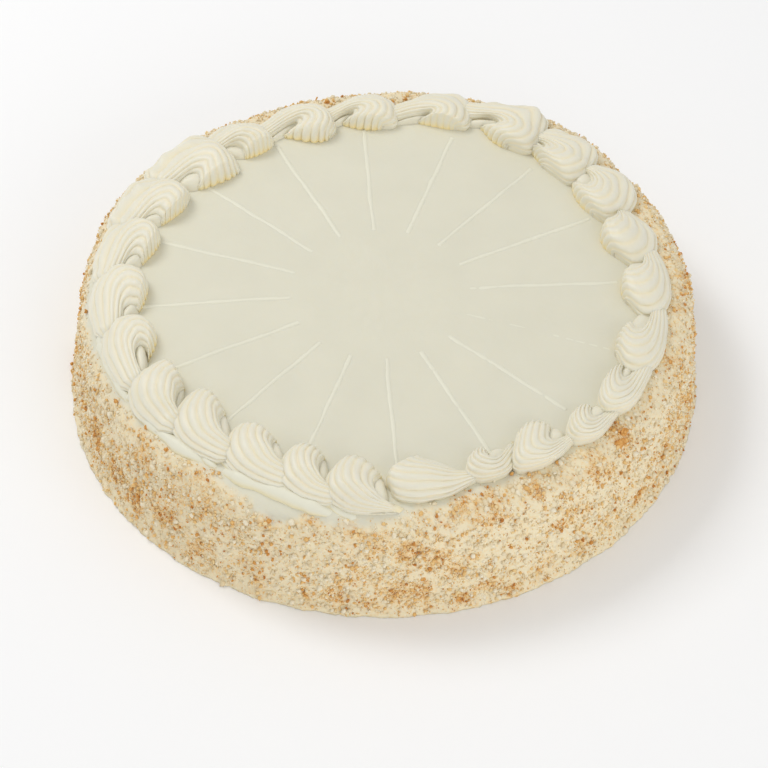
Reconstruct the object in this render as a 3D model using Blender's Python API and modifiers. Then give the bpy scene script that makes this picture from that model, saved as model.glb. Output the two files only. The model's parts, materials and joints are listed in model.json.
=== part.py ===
"""A round iced cake with a piped shell border, sixteen portion marks and a crumb-coated wall.

Lengths are in metres, +Z is up, and the origin is the middle of the flat underside.
Angles run counter-clockwise seen from above: 0 is +X, 90 is +Y.
The border is piped counter-clockwise, so each shell lies on the tail of the one before it.
"""
import math
import random
from collections import namedtuple

import bmesh
import bpy
from mathutils import Matrix, Vector

MM = 0.001

# The iced cake
TOP_HEIGHT = 50.0 * MM          # the middle of the top
TOP_FALL = 1.0 * MM             # how far the top drops towards its edge
TOP_EDGE_RADIUS = 113.0 * MM    # where the top starts to turn down
SHOULDER = 12.5 * MM            # radius of the rounded edge between top and wall
FOOT_RADIUS = 131.0 * MM        # the wall at the underside
FOOT_FLARE = 1.2 * MM           # the icing and crumbs that spread at the foot
FOOT_FLARE_HEIGHT = 5.0 * MM
LEAN = 2.0 * MM                 # the top edge stands this much further out at +X, and further in at -X
FOOT_FLARE_REST = 0.6           # the share of the flare left where the foot meets the underside
WALL_SWELL = 0.7                # below 1, the wall spreads soon under the shoulder and then drops straight
TOP_RINGS = (44.0 * MM, 77.0 * MM)
CAKE_COLUMNS = 108
SHOULDER_STEPS = 3
SHOULDER_TURN = 75.0            # how far round the shoulder turns before the wall begins, in degrees
WALL_ROWS = 7

# The crumb coat, as bumps in the wall
CRUMB_BUMP = 1.5 * MM
CRUMB_TOP = 32.0 * MM           # no bumps above this height, where the last shell hangs over the edge
CRUMB_SEED = 7

# The portion marks, thin raised lines in the icing of the top
MARKS = 16
MARK_PHASE = 94.1
MARK_CENTRE_X = -1.5 * MM
MARK_INNER_RADIUS = 36.6 * MM
MARK_OUTER_RADIUS = 91.0 * MM
MARK_WIDTH = 1.6 * MM
MARK_RIDGE_WIDTH = 0.5 * MM
MARK_HEIGHT = 0.6 * MM
MARK_DEPTH = 0.8 * MM           # how far a mark's bar reaches into the icing
MARK_END_SLOPE = 0.985          # the length of its upper edge, as a share of the whole

# The shells of the border
GAP = 0.3 * MM                  # clear air between pieces that lie on each other
GROUND_COLUMNS = 48             # the cutter that gives the shells their undersides
RIDGES = 6                      # ridges that the star nozzle leaves over the top of a shell
RIDGE_RISE = 1.0 * MM           # how high a ridge stands over the crease beside it
FULL_RIDGE_WIDTH = 6.0 * MM     # a section narrower than this has lower ridges
SHELL_HEIGHT = 10.5 * MM        # a shell's top over the top of the cake
SHELL_LIFT = 3.0 * MM           # the middle of a shell's section over the icing under it
FULL_LIFT_HEIGHT = 5.0 * MM     # a section lower than this lies lower too
SECTION_LOW = -24.0             # where a section meets its underside, in degrees below its middle
SOLE_WIDTH = 0.5                # the flat underside's half width and depth, as shares of the section's
SOLE_DEPTH = 0.8
EYE_SHOULDER = 140.0            # where a section of a tight curl breaks off beside the eye
TAIL_OVERLAP = 9.0 * MM         # how far a tail runs on under the next shell
TAIL_WIDTHS = (0.98, 0.86, 0.5)
TAIL_INWARDS = 0.4              # how far the narrowing tail comes back in from the shell's outer edge
OPEN_HEADING = 105.0            # the first heading of the most open shell, and of the tightest
CURLED_HEADING = 170.0
NOSE_LENGTH = 4.0 * MM          # the rounded start of a shell
NOSE_WIDTH = 0.9                # how wide the start of an open shell stays, and of the tightest
CURLED_NOSE_WIDTH = 0.55
NOSE_STEPS = (15.0, 50.0)
FINGER = 1.6 * MM               # how far a ridge's rounded end stands out past the creases beside it
TURN_STEP = 36.0                # degrees between two sections of the curl
EYE_GAP = 0.6 * MM              # keeps the inner side of the curl from folding over itself
OPEN_EYE = 0.46                 # how far past an open shell's middle its eye lies, as a share of its length
CURLED_EYE = 0.12               # and that of the tightest
EYE_ACROSS = -0.05
ROOT_HEIGHT = 0.88              # how high the curl still is where it becomes the tail
FILLED_FROM = 140.0             # shells with a heading past this have an eye filled with icing
FILL_LENGTH = 17.0 * MM
FILL_WIDTH = 9.0 * MM
FILL_HEIGHT = 5.5 * MM          # the fill's half height
FILL_SIDES = 10
FILL_STEPS = (20.0, 50.0, 90.0, 130.0, 160.0)

Section = namedtuple("Section", "x y heading wide high shoulder finger")

# start: where the shell's round left edge lies on the ring, in degrees
# heading: the way the nozzle first moves, in degrees from "along the ring, counter-clockwise"
# inner, outer: how far the shell reaches, in millimetres from the cake's axis
# finish: the heading of the shell's tail
Shell = namedtuple("Shell", "start heading inner outer finish")
SHELLS = (
    Shell(271.9, 35.0, 94.5, 119.5, 0.0),
    Shell(288.2, 150.0, 97.0, 115.0, 0.0),
    Shell(298.2, 110.0, 94.5, 114.5, 0.0),
    Shell(311.8, 120.0, 99.0, 116.5, 0.0),
    Shell(322.7, 170.0, 99.5, 118.0, 0.0),
    Shell(335.5, 130.0, 97.5, 119.5, 0.0),
    Shell(352.8, 125.0, 97.0, 120.0, 0.0),
    Shell(368.3, 120.0, 95.5, 117.5, 0.0),
    Shell(384.3, 150.0, 97.0, 119.5, 0.0),
    Shell(399.3, 145.0, 99.5, 120.0, 0.0),
    Shell(413.8, 125.0, 99.5, 121.0, 0.0),
    Shell(430.6, 110.0, 100.0, 118.5, 0.0),
    Shell(447.2, 105.0, 96.5, 116.0, 0.0),
    Shell(462.4, 108.0, 95.0, 115.0, 0.0),
    Shell(477.6, 100.0, 98.5, 116.0, 0.0),
    Shell(487.7, 118.0, 95.0, 120.0, 0.0),
    Shell(503.9, 160.0, 97.5, 121.0, 0.0),
    Shell(518.6, 165.0, 98.5, 122.0, 0.0),
    Shell(533.7, 160.0, 98.0, 121.5, 0.0),
    Shell(548.8, 140.0, 97.5, 121.0, 0.0),
    Shell(565.3, 140.0, 95.5, 120.0, 0.0),
    Shell(579.0, 125.0, 93.0, 119.0, 0.0),
    Shell(593.3, 120.0, 93.5, 118.0, 0.0),
    Shell(607.6, 120.0, 93.0, 116.5, 0.0),
    Shell(617.5, 120.0, 94.5, 123.0, 50.0),
)
RING_END = 630.8                # where the last shell stops, short of the first

ICING = (0.86, 0.83, 0.70, 1.0)
SHELL_ICING = (0.90, 0.87, 0.74, 1.0)


def clear_scene():
    for obj in list(bpy.data.objects):
        bpy.data.objects.remove(obj)


def collection(name):
    made = bpy.data.collections.new(name)
    bpy.context.scene.collection.children.link(made)
    return made


def icing_material(name, colour, roughness):
    material = bpy.data.materials.new(name)
    material.use_nodes = True
    shader = material.node_tree.nodes["Principled BSDF"]
    shader.inputs["Base Color"].default_value = colour
    shader.inputs["Roughness"].default_value = roughness
    shader.inputs["Metallic"].default_value = 0.0
    return material


def add_object(name, mesh, into, material=None):
    obj = bpy.data.objects.new(name, mesh)
    into.objects.link(obj)
    if material:
        mesh.materials.append(material)
    return obj


def mark_as_cutter(obj):
    obj.hide_render = True
    obj.display_type = "WIRE"


def as_plain_mesh(obj):
    """Applies an object's modifiers and welds its seams."""
    depsgraph = bpy.context.evaluated_depsgraph_get()
    mesh = bpy.data.meshes.new_from_object(obj.evaluated_get(depsgraph))
    bm = bmesh.new()
    bm.from_mesh(mesh)
    bmesh.ops.remove_doubles(bm, verts=bm.verts, dist=0.00001)
    bm.to_mesh(mesh)
    bm.free()
    obj.modifiers.clear()
    obj.data = mesh


def boolean(obj, operation, other, solver="EXACT"):
    modifier = obj.modifiers.new(operation.lower(), "BOOLEAN")
    modifier.operation = operation
    modifier.object = other
    modifier.solver = solver


def drop_scraps(obj):
    """Keeps an object's largest body, where a cut has left crumbs beside it."""
    bm = bmesh.new()
    bm.from_mesh(obj.data)
    islands = []
    unseen = set(bm.verts)
    while unseen:
        island = set()
        stack = [unseen.pop()]
        while stack:
            vert = stack.pop()
            island.add(vert)
            for edge in vert.link_edges:
                other = edge.other_vert(vert)
                if other in unseen:
                    unseen.discard(other)
                    stack.append(other)
        islands.append(island)
    islands.sort(key=len)
    scraps = [vert for island in islands[:-1] for vert in island]
    bmesh.ops.delete(bm, geom=scraps, context="VERTS")
    bm.to_mesh(obj.data)
    bm.free()


# The iced cake

def top_z(radius):
    """Height of the iced top, and of the rounded edge beyond it, at a radius."""
    top = TOP_HEIGHT - TOP_FALL * (min(radius, TOP_EDGE_RADIUS) / TOP_EDGE_RADIUS) ** 2
    over = min(max(radius - TOP_EDGE_RADIUS, 0.0), SHOULDER)
    return top - SHOULDER + math.sqrt(SHOULDER ** 2 - over ** 2)


def lean(angle, height):
    """How far the edge of the top leans out at an angle round the cake."""
    return LEAN * math.cos(angle) * min(max(height / TOP_HEIGHT, 0.0), 1.0)


def cake_profile():
    """Half the cake's section, from the middle of the top down the wall to the underside."""
    edge_z = top_z(TOP_EDGE_RADIUS)
    points = [(0.0, TOP_HEIGHT)]
    for radius in TOP_RINGS:
        points.append((radius, top_z(radius)))
    for step in range(SHOULDER_STEPS + 1):
        turn = math.radians(SHOULDER_TURN * step / SHOULDER_STEPS)
        drop = SHOULDER * (1 - math.cos(turn))
        points.append((TOP_EDGE_RADIUS + SHOULDER * math.sin(turn), edge_z - drop))
    wall_top_radius, wall_top_z = points[-1]
    for row in range(1, WALL_ROWS):
        share = row / WALL_ROWS
        z = wall_top_z + (FOOT_FLARE_HEIGHT - wall_top_z) * share
        points.append((wall_top_radius + (FOOT_RADIUS - wall_top_radius) * share ** WALL_SWELL, z))
    points.append((FOOT_RADIUS, FOOT_FLARE_HEIGHT))
    points.append((FOOT_RADIUS + FOOT_FLARE, FOOT_FLARE_HEIGHT / 3))
    points.append((FOOT_RADIUS + FOOT_FLARE * FOOT_FLARE_REST, 0.0))
    points.append((0.0, 0.0))
    return points


def turned(name, points, columns, into, material=None):
    """Turns a profile in the XZ plane round the Z axis."""
    mesh = bpy.data.meshes.new(name)
    bm = bmesh.new()
    verts = [bm.verts.new((x, 0.0, z)) for x, z in points]
    for first, second in zip(verts, verts[1:]):
        bm.edges.new((first, second))
    bm.to_mesh(mesh)
    bm.free()
    obj = add_object(name, mesh, into, material)
    screw = obj.modifiers.new("turn", "SCREW")
    screw.axis = "Z"
    screw.angle = math.tau
    screw.steps = columns
    screw.render_steps = columns
    screw.use_merge_vertices = True
    screw.merge_threshold = 0.00005
    as_plain_mesh(obj)
    return obj


def shape_wall(obj, bump):
    """Leans the wall and pushes the crumb coat's bumps out of it."""
    draw = random.Random(CRUMB_SEED)
    for vert in obj.data.vertices:
        radius = math.hypot(vert.co.x, vert.co.y)
        angle = math.atan2(vert.co.y, vert.co.x)
        if radius < TOP_EDGE_RADIUS - MM:
            continue
        shift = lean(angle, vert.co.z)
        if MM < vert.co.z < CRUMB_TOP:
            shift += draw.uniform(-0.5, 1.0) * bump
        vert.co.x += shift * math.cos(angle)
        vert.co.y += shift * math.sin(angle)


def portion_mark(angle):
    """A low ridge along a radius of the top: a cube whose upper edges are drawn together."""
    bm = bmesh.new()
    bmesh.ops.create_cube(bm, size=1.0)
    length = MARK_OUTER_RADIUS - MARK_INNER_RADIUS
    height = MARK_HEIGHT + MARK_DEPTH
    bmesh.ops.scale(bm, vec=(length, MARK_WIDTH, height), verts=bm.verts)
    upper = [vert for vert in bm.verts if vert.co.z > 0]
    bmesh.ops.scale(bm, vec=(MARK_END_SLOPE, MARK_RIDGE_WIDTH / MARK_WIDTH, 1.0), verts=upper)
    inner_z = top_z(MARK_INNER_RADIUS)
    outer_z = top_z(MARK_OUTER_RADIUS)
    slope = math.atan2(inner_z - outer_z, length)
    middle = Vector(((MARK_INNER_RADIUS + MARK_OUTER_RADIUS) / 2, 0.0, 0.0))
    middle.z = (inner_z + outer_z) / 2 + MARK_HEIGHT - height / 2
    turn = Matrix.Translation((MARK_CENTRE_X, 0.0, 0.0)) @ Matrix.Rotation(angle, 4, "Z")
    place = turn @ Matrix.Translation(middle) @ Matrix.Rotation(slope, 4, "Y")
    bmesh.ops.transform(bm, matrix=place, verts=bm.verts)
    return bm


def portion_marks(into):
    """All the portion marks as one mesh of separate bars."""
    joined = bmesh.new()
    for number in range(MARKS):
        bar = portion_mark(math.radians(MARK_PHASE + 360.0 * number / MARKS))
        part = bpy.data.meshes.new("bar")
        bar.to_mesh(part)
        bar.free()
        joined.from_mesh(part)
        bpy.data.meshes.remove(part)
    mesh = bpy.data.meshes.new("portion_marks")
    joined.to_mesh(mesh)
    joined.free()
    obj = add_object("portion_marks", mesh, into)
    mark_as_cutter(obj)
    return obj


def iced_cake(into, cutters, material):
    """The cake as one solid: the turned body with its wall's bumps, and the portion marks on top."""
    obj = turned("cake", cake_profile(), CAKE_COLUMNS, into, material)
    shape_wall(obj, CRUMB_BUMP)
    marks = portion_marks(cutters)
    boolean(obj, "UNION", marks)
    as_plain_mesh(obj)
    bpy.data.objects.remove(marks)


def ground_under_shells(cutters):
    """The cake's plain outside, a gap larger all over, which the shells are cut by."""
    round_out = 1.0 / math.cos(math.pi / GROUND_COLUMNS)
    profile = []
    for x, z in cake_profile():
        wider = (x + GAP) * round_out if x > TOP_EDGE_RADIUS else x
        profile.append((wider, z + GAP if z > TOP_HEIGHT - SHOULDER else z))
    obj = turned("ground", profile, GROUND_COLUMNS, cutters)
    shape_wall(obj, 0.0)
    mark_as_cutter(obj)
    return obj


# The piped shells

def section_points(half_width, half_height, ridge, eye_shoulder, grow):
    """One section through a shell: ridges and creases over the top, a plain underside.

    It runs from the side that faces the eye, which breaks off at eye_shoulder, to the outer side.
    """
    points = []
    high = math.radians(eye_shoulder)
    low = math.radians(SECTION_LOW)
    span = 1.0 - math.cos(min(high, math.pi))
    count = 2 * RIDGES
    for step in range(count + 1):
        turn = high + (low - high) * step / count
        inset = ridge if step % 2 == 0 else 0.0
        side = 1.0 - 2.0 * (1.0 - math.cos(turn)) / span
        points.append((side * (half_width - inset + grow), math.sin(turn) * (half_height - inset + grow)))
    sole = -SOLE_DEPTH * half_height - grow
    points.append((SOLE_WIDTH * half_width, sole))
    points.append((-SOLE_WIDTH * half_width, sole))
    return points


def shell_sections(shell, next_start):
    """The sections along a shell, from its rounded fingers round the curl to the end of its tail.

    The sections of the curl stand like the leaves of an open book round the eye of the shell.
    """
    reach = (shell.outer - shell.inner) / 2 * MM
    length = math.radians(next_start - shell.start) * (shell.inner + shell.outer) / 2 * MM
    curl = (shell.heading - OPEN_HEADING) / (CURLED_HEADING - OPEN_HEADING)
    curl = min(max(curl, 0.0), 1.0)
    eye = Vector((length * (OPEN_EYE + (CURLED_EYE - OPEN_EYE) * curl), reach * EYE_ACROSS))
    side_width = (eye.x + length / 2) / 2
    front_width = (reach + eye.y) / 2
    back_width = (reach - eye.y) / 2
    tall = SHELL_HEIGHT - SHELL_LIFT
    fully_round = 180.0 - SECTION_LOW
    eye_shoulder = fully_round + (EYE_SHOULDER - fully_round) * curl
    start = math.radians(shell.heading)
    finish = math.radians(shell.finish)
    sections = []

    def add_on_curl(heading, width, height, back, shoulder):
        across = front_width if heading > math.pi / 2 else back_width
        wide = math.hypot(side_width * math.sin(heading), across * math.cos(heading))
        x = eye.x - (wide + EYE_GAP) * math.sin(heading) - back * math.cos(heading)
        y = eye.y + (wide + EYE_GAP) * math.cos(heading) - back * math.sin(heading)
        finger = FINGER * back / NOSE_LENGTH
        sections.append(Section(x, y, heading, wide * width, tall * height, shoulder, finger))

    nose_width = NOSE_WIDTH + (CURLED_NOSE_WIDTH - NOSE_WIDTH) * curl
    for degrees in NOSE_STEPS:
        turn = math.radians(degrees)
        width = nose_width + (1.0 - nose_width) * math.sin(turn)
        add_on_curl(start, width, math.sin(turn), NOSE_LENGTH * math.cos(turn), fully_round)
    steps = max(1, round((shell.heading - shell.finish) / TURN_STEP))
    for step in range(steps + 1):
        share = step / steps
        height = 1.0 - (1.0 - ROOT_HEIGHT) * share ** 2
        add_on_curl(start + (finish - start) * share, 1.0, height, 0.0, eye_shoulder)
    last = sections[-1]
    tail_length = (length / 2 + TAIL_OVERLAP - last.x) * math.cos(finish)
    for step, scale in enumerate(TAIL_WIDTHS, start=1):
        share = step / len(TAIL_WIDTHS)
        outwards = last.wide * (1 - scale) * (1 - TAIL_INWARDS * share)
        x = last.x + tail_length * share * math.cos(finish) - outwards * math.sin(finish)
        y = last.y + tail_length * share * math.sin(finish) + outwards * math.cos(finish)
        round_off = last.shoulder + (fully_round - last.shoulder) * share
        sections.append(Section(x, y, finish, last.wide * scale, last.high * scale, round_off, 0.0))
    return eye, sections


def eye_fill(eye):
    """The drop of icing that fills the eye of a tight curl, as plain oval rings along the ring."""
    rings = []
    for degrees in FILL_STEPS:
        turn = math.radians(degrees)
        x = eye.x - FILL_LENGTH / 2 * math.cos(turn)
        points = []
        for number in range(FILL_SIDES):
            around = math.tau * number / FILL_SIDES
            side = FILL_WIDTH / 2 * math.sin(turn) * math.cos(around)
            up = FILL_HEIGHT * math.sin(turn) * math.sin(around)
            points.append((x, eye.y + side, up))
        rings.append((eye, SHELL_LIFT, points))
    return rings


def shell_plan(shell, next_start, grow):
    """The points of a shell's sections and of its eye's fill, fitted to its place on the ring."""
    drawn = []
    eye, sections = shell_sections(shell, next_start)
    for section in sections:
        ridge = RIDGE_RISE * min(1.0, section.wide / FULL_RIDGE_WIDTH)
        lift = SHELL_LIFT * min(1.0, section.high / FULL_LIFT_HEIGHT)
        along = Vector((math.cos(section.heading), math.sin(section.heading)))
        across = Vector((-along.y, along.x))
        points = []
        outline = section_points(section.wide, section.high, ridge, section.shoulder, grow)
        for number, (side, up) in enumerate(outline):
            on_ridge = number % 2 == 1 and number < 2 * RIDGES
            back = section.finger if on_ridge else 0.0
            place = Vector((section.x, section.y)) + across * side - along * back
            points.append((place.x, place.y, up))
        drawn.append((section, lift, points))
    fill = eye_fill(eye)
    curl = [point for _, _, points in drawn[:-len(TAIL_WIDTHS)] for point in points]
    low_y = min(y for _, y, _ in curl)
    high_y = max(y for _, y, _ in curl)
    low_x = min(x for x, _, _ in curl)
    stretch = ((shell.outer - shell.inner) * MM + 2 * grow) / (high_y - low_y)
    inner = shell.inner * MM - grow
    middle_radius = (shell.inner + shell.outer) / 2 * MM

    def on_ring(centre, lift, points):
        centre_radius = inner + (centre.y - low_y) * stretch
        centre_angle = math.radians(shell.start) + (centre.x - low_x) / middle_radius
        height = top_z(centre_radius - lean(centre_angle, TOP_HEIGHT)) + lift
        placed = []
        for x, y, up in points:
            radius = inner + (y - low_y) * stretch
            angle = math.radians(shell.start) + (x - low_x - grow) / middle_radius
            placed.append((radius * math.cos(angle), radius * math.sin(angle), height + up))
        return placed

    return [on_ring(*item) for item in drawn], [on_ring(*item) for item in fill]


def drawn_mesh(name, rings):
    """Draws a closed section through its places, extruding from each ring of points to the next."""
    bm = bmesh.new()
    loop = []
    edges = []
    ends = []
    for places in rings:
        if not loop:
            loop = [bm.verts.new(place) for place in places]
            ends = [bm.faces.new(loop)]
        else:
            drawn = set(bmesh.ops.extrude_edge_only(bm, edges=edges)["geom"])
            loop = [far_end(vert, drawn) for vert in loop]
            for vert, place in zip(loop, places):
                vert.co = place
        edges = [bm.edges.get((loop[k - 1], loop[k])) for k in range(len(loop))]
    ends.append(bm.faces.new(loop))
    bmesh.ops.poke(bm, faces=ends)
    bmesh.ops.triangulate(bm, faces=bm.faces)
    bmesh.ops.recalc_face_normals(bm, faces=bm.faces)
    mesh = bpy.data.meshes.new(name)
    bm.to_mesh(mesh)
    bm.free()
    return mesh


def far_end(vert, drawn):
    """The vertex that an extrusion has drawn out of another one."""
    for edge in vert.link_edges:
        other = edge.other_vert(vert)
        if other in drawn:
            return other
    raise ValueError("the extrusion has left a vertex behind")


def piped_shells(into, cutters, ground, material):
    """Every shell, cut clear of the icing under it and of the shell that covers its tail."""
    starts = [shell.start for shell in SHELLS] + [RING_END]
    for number, shell in enumerate(SHELLS):
        name = f"shell_{number + 1:02d}"
        rings, fill_rings = shell_plan(shell, starts[number + 1], 0.0)
        obj = add_object(name, drawn_mesh(name, rings), into, material)
        helpers = []
        if shell.heading > FILLED_FROM:
            helpers.append(add_object("fill", drawn_mesh("fill", fill_rings), cutters))
            boolean(obj, "UNION", helpers[-1], "MANIFOLD")
        boolean(obj, "DIFFERENCE", ground, "MANIFOLD")
        if number + 1 < len(SHELLS):
            cover_rings, _ = shell_plan(SHELLS[number + 1], starts[number + 2], GAP)
            helpers.append(add_object("cover", drawn_mesh("cover", cover_rings), cutters))
            boolean(obj, "DIFFERENCE", helpers[-1], "MANIFOLD")
        as_plain_mesh(obj)
        drop_scraps(obj)
        for helper in helpers:
            bpy.data.objects.remove(helper)


def build():
    clear_scene()
    parts = collection("iced_cake")
    cutters = collection("cutters")
    cake_icing = icing_material("cake_icing", ICING, 0.55)
    shell_icing = icing_material("shell_icing", SHELL_ICING, 0.5)
    iced_cake(parts, cutters, cake_icing)
    ground = ground_under_shells(cutters)
    piped_shells(parts, cutters, ground, shell_icing)
    bpy.data.objects.remove(ground)


build()
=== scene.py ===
# %% [markdown]
# # A round iced cake, dressed from its plain solids
#
# The cake is a whole 10 inch round: pale cream icing spread flat on top, sixteen portion marks drawn in
# it, a border of piped shells, and a side that has been pressed full of cake crumbs. The plain solids are
# loaded first, as a frame that says where everything lies. Every piece made below takes the place of one
# of those solids or lies on one. Angles run counter-clockwise seen from above: 0 is +X, and the front of
# the cake is at -90.

# %% Load the frame
import json
import math
import random
from collections import namedtuple

import bmesh
import bpy
from mathutils import Matrix, Vector, noise

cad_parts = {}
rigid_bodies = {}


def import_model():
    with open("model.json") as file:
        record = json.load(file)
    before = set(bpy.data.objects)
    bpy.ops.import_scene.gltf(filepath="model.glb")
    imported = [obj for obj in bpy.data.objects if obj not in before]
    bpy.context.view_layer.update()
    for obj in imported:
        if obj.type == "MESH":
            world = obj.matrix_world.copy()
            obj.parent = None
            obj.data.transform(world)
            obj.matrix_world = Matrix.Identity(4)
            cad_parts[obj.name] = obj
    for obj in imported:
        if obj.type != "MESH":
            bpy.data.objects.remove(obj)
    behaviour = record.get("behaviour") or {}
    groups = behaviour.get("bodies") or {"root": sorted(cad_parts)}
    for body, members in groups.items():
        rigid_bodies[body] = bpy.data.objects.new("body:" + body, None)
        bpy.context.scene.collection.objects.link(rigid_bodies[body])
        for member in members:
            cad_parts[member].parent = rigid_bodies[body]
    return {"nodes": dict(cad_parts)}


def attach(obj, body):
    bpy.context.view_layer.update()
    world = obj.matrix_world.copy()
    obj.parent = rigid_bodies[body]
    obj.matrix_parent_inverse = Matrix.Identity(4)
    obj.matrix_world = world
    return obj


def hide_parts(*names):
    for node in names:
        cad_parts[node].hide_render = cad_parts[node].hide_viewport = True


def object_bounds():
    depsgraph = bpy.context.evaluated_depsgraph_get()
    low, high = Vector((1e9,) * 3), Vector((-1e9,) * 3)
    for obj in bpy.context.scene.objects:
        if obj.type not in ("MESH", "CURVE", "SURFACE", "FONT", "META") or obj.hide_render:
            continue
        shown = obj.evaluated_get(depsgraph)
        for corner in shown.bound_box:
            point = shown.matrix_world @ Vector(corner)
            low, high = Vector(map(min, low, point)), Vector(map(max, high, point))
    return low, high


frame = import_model()
cad_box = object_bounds()
MM = 0.001
print("solids:", len(frame["nodes"]), "box:", cad_box)

# %% [markdown]
# ## Small helpers
#
# A few things are needed again and again. A number is often eased from one value to another between two
# limits. Spread icing and crumbs are uneven, and Perlin noise gives an unevenness that is the same each
# time the file runs, with a grain size that can be stated in millimetres. A direction round the cake is a
# flat vector. And a finished bmesh becomes an object that rides on the cake's one body.

# %% Helpers
def ease(low, high, value):
    """0 below low, 1 above high, and a smooth step between them."""
    share = min(max((value - low) / (high - low), 0.0), 1.0)
    return share * share * (3.0 - 2.0 * share)


def mix(low, high, share):
    return low + (high - low) * share


def uneven(place, grain, seed=0.0):
    """Smooth noise between about -1 and 1 whose lumps are about one grain across."""
    return noise.noise(place / grain + Vector((seed, 1.7 * seed, -2.3 * seed)))


def outward(angle):
    """The flat direction away from the middle of the cake, at an angle in radians."""
    return Vector((math.cos(angle), math.sin(angle), 0.0))


def add_piece(name, bm, material):
    """Makes an object of a bmesh, with its place in its mesh, that rides on the cake."""
    mesh = bpy.data.meshes.new(name)
    bm.to_mesh(mesh)
    bm.free()
    mesh.materials.append(material)
    mesh.shade_smooth()
    obj = bpy.data.objects.new(name, mesh)
    bpy.context.scene.collection.objects.link(obj)
    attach(obj, "root")
    return obj


# %% [markdown]
# ## Camera, floor and light
#
# The camera looks down at the cake from 47 degrees, from far enough away that the circle of the top stays a
# clean ellipse. A long lens and a long distance go together.

# %% Camera
VIEW_ELEVATION = math.radians(47.35)
VIEW_DISTANCE = 1.5
LOOK_AT = Vector((0.2 * MM, 3.0 * MM, -9.0 * MM))
SENSOR = 36.0
LENS = 164.53

camera = bpy.data.objects.new("camera", bpy.data.cameras.new("camera"))
camera.data.sensor_width = SENSOR
camera.data.lens = LENS
looking = Vector((0.0, math.cos(VIEW_ELEVATION), -math.sin(VIEW_ELEVATION)))
camera.location = LOOK_AT - looking * VIEW_DISTANCE
camera.rotation_euler = (math.pi / 2 - VIEW_ELEVATION, 0.0, 0.0)
bpy.context.scene.collection.objects.link(camera)
bpy.context.scene.camera = camera
print("camera at", tuple(round(value, 3) for value in camera.location))

# %% [markdown]
# The cake stands in even studio light: a broad soft lamp high at the back left, which draws the soft
# shadows at the lower right of the shells, a weaker one at the front right to fill them, and a bright
# plain surround. An area lamp's size sets how soft its shadows are.

# %% Floor and lamps
def plain_material(name, colour, roughness):
    material = bpy.data.materials.new(name)
    material.use_nodes = True
    shader = material.node_tree.nodes["Principled BSDF"]
    shader.inputs["Base Color"].default_value = colour
    shader.inputs["Roughness"].default_value = roughness
    return material


FLOOR_SIZE = 6.0
floor_mesh = bmesh.new()
bmesh.ops.create_grid(floor_mesh, x_segments=1, y_segments=1, size=FLOOR_SIZE / 2)
floor_data = bpy.data.meshes.new("floor")
floor_mesh.to_mesh(floor_data)
floor_mesh.free()
floor_data.materials.append(plain_material("white_table", (0.95, 0.95, 0.95, 1.0), 0.9))
floor = bpy.data.objects.new("floor", floor_data)
floor.location.z = cad_box[0][2] - 0.2 * MM
bpy.context.scene.collection.objects.link(floor)


def add_lamp(name, place, power, size):
    lamp = bpy.data.objects.new(name, bpy.data.lights.new(name, "AREA"))
    lamp.data.energy = power
    lamp.data.size = size
    lamp.location = place
    lamp.rotation_euler = (-Vector(place)).to_track_quat("-Z", "Y").to_euler()
    bpy.context.scene.collection.objects.link(lamp)


add_lamp("key_lamp", (-0.75, 0.55, 1.25), 8.0, 0.6)
add_lamp("fill_lamp", (0.75, -1.2, 0.5), 6.5, 1.2)
surround = bpy.data.worlds.new("surround")
surround.use_nodes = True
surround.node_tree.nodes["Background"].inputs["Color"].default_value = (1.0, 1.0, 1.0, 1.0)
surround.node_tree.nodes["Background"].inputs["Strength"].default_value = 0.66
bpy.context.scene.world = surround
bpy.context.scene.view_settings.view_transform = "Standard"
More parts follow.
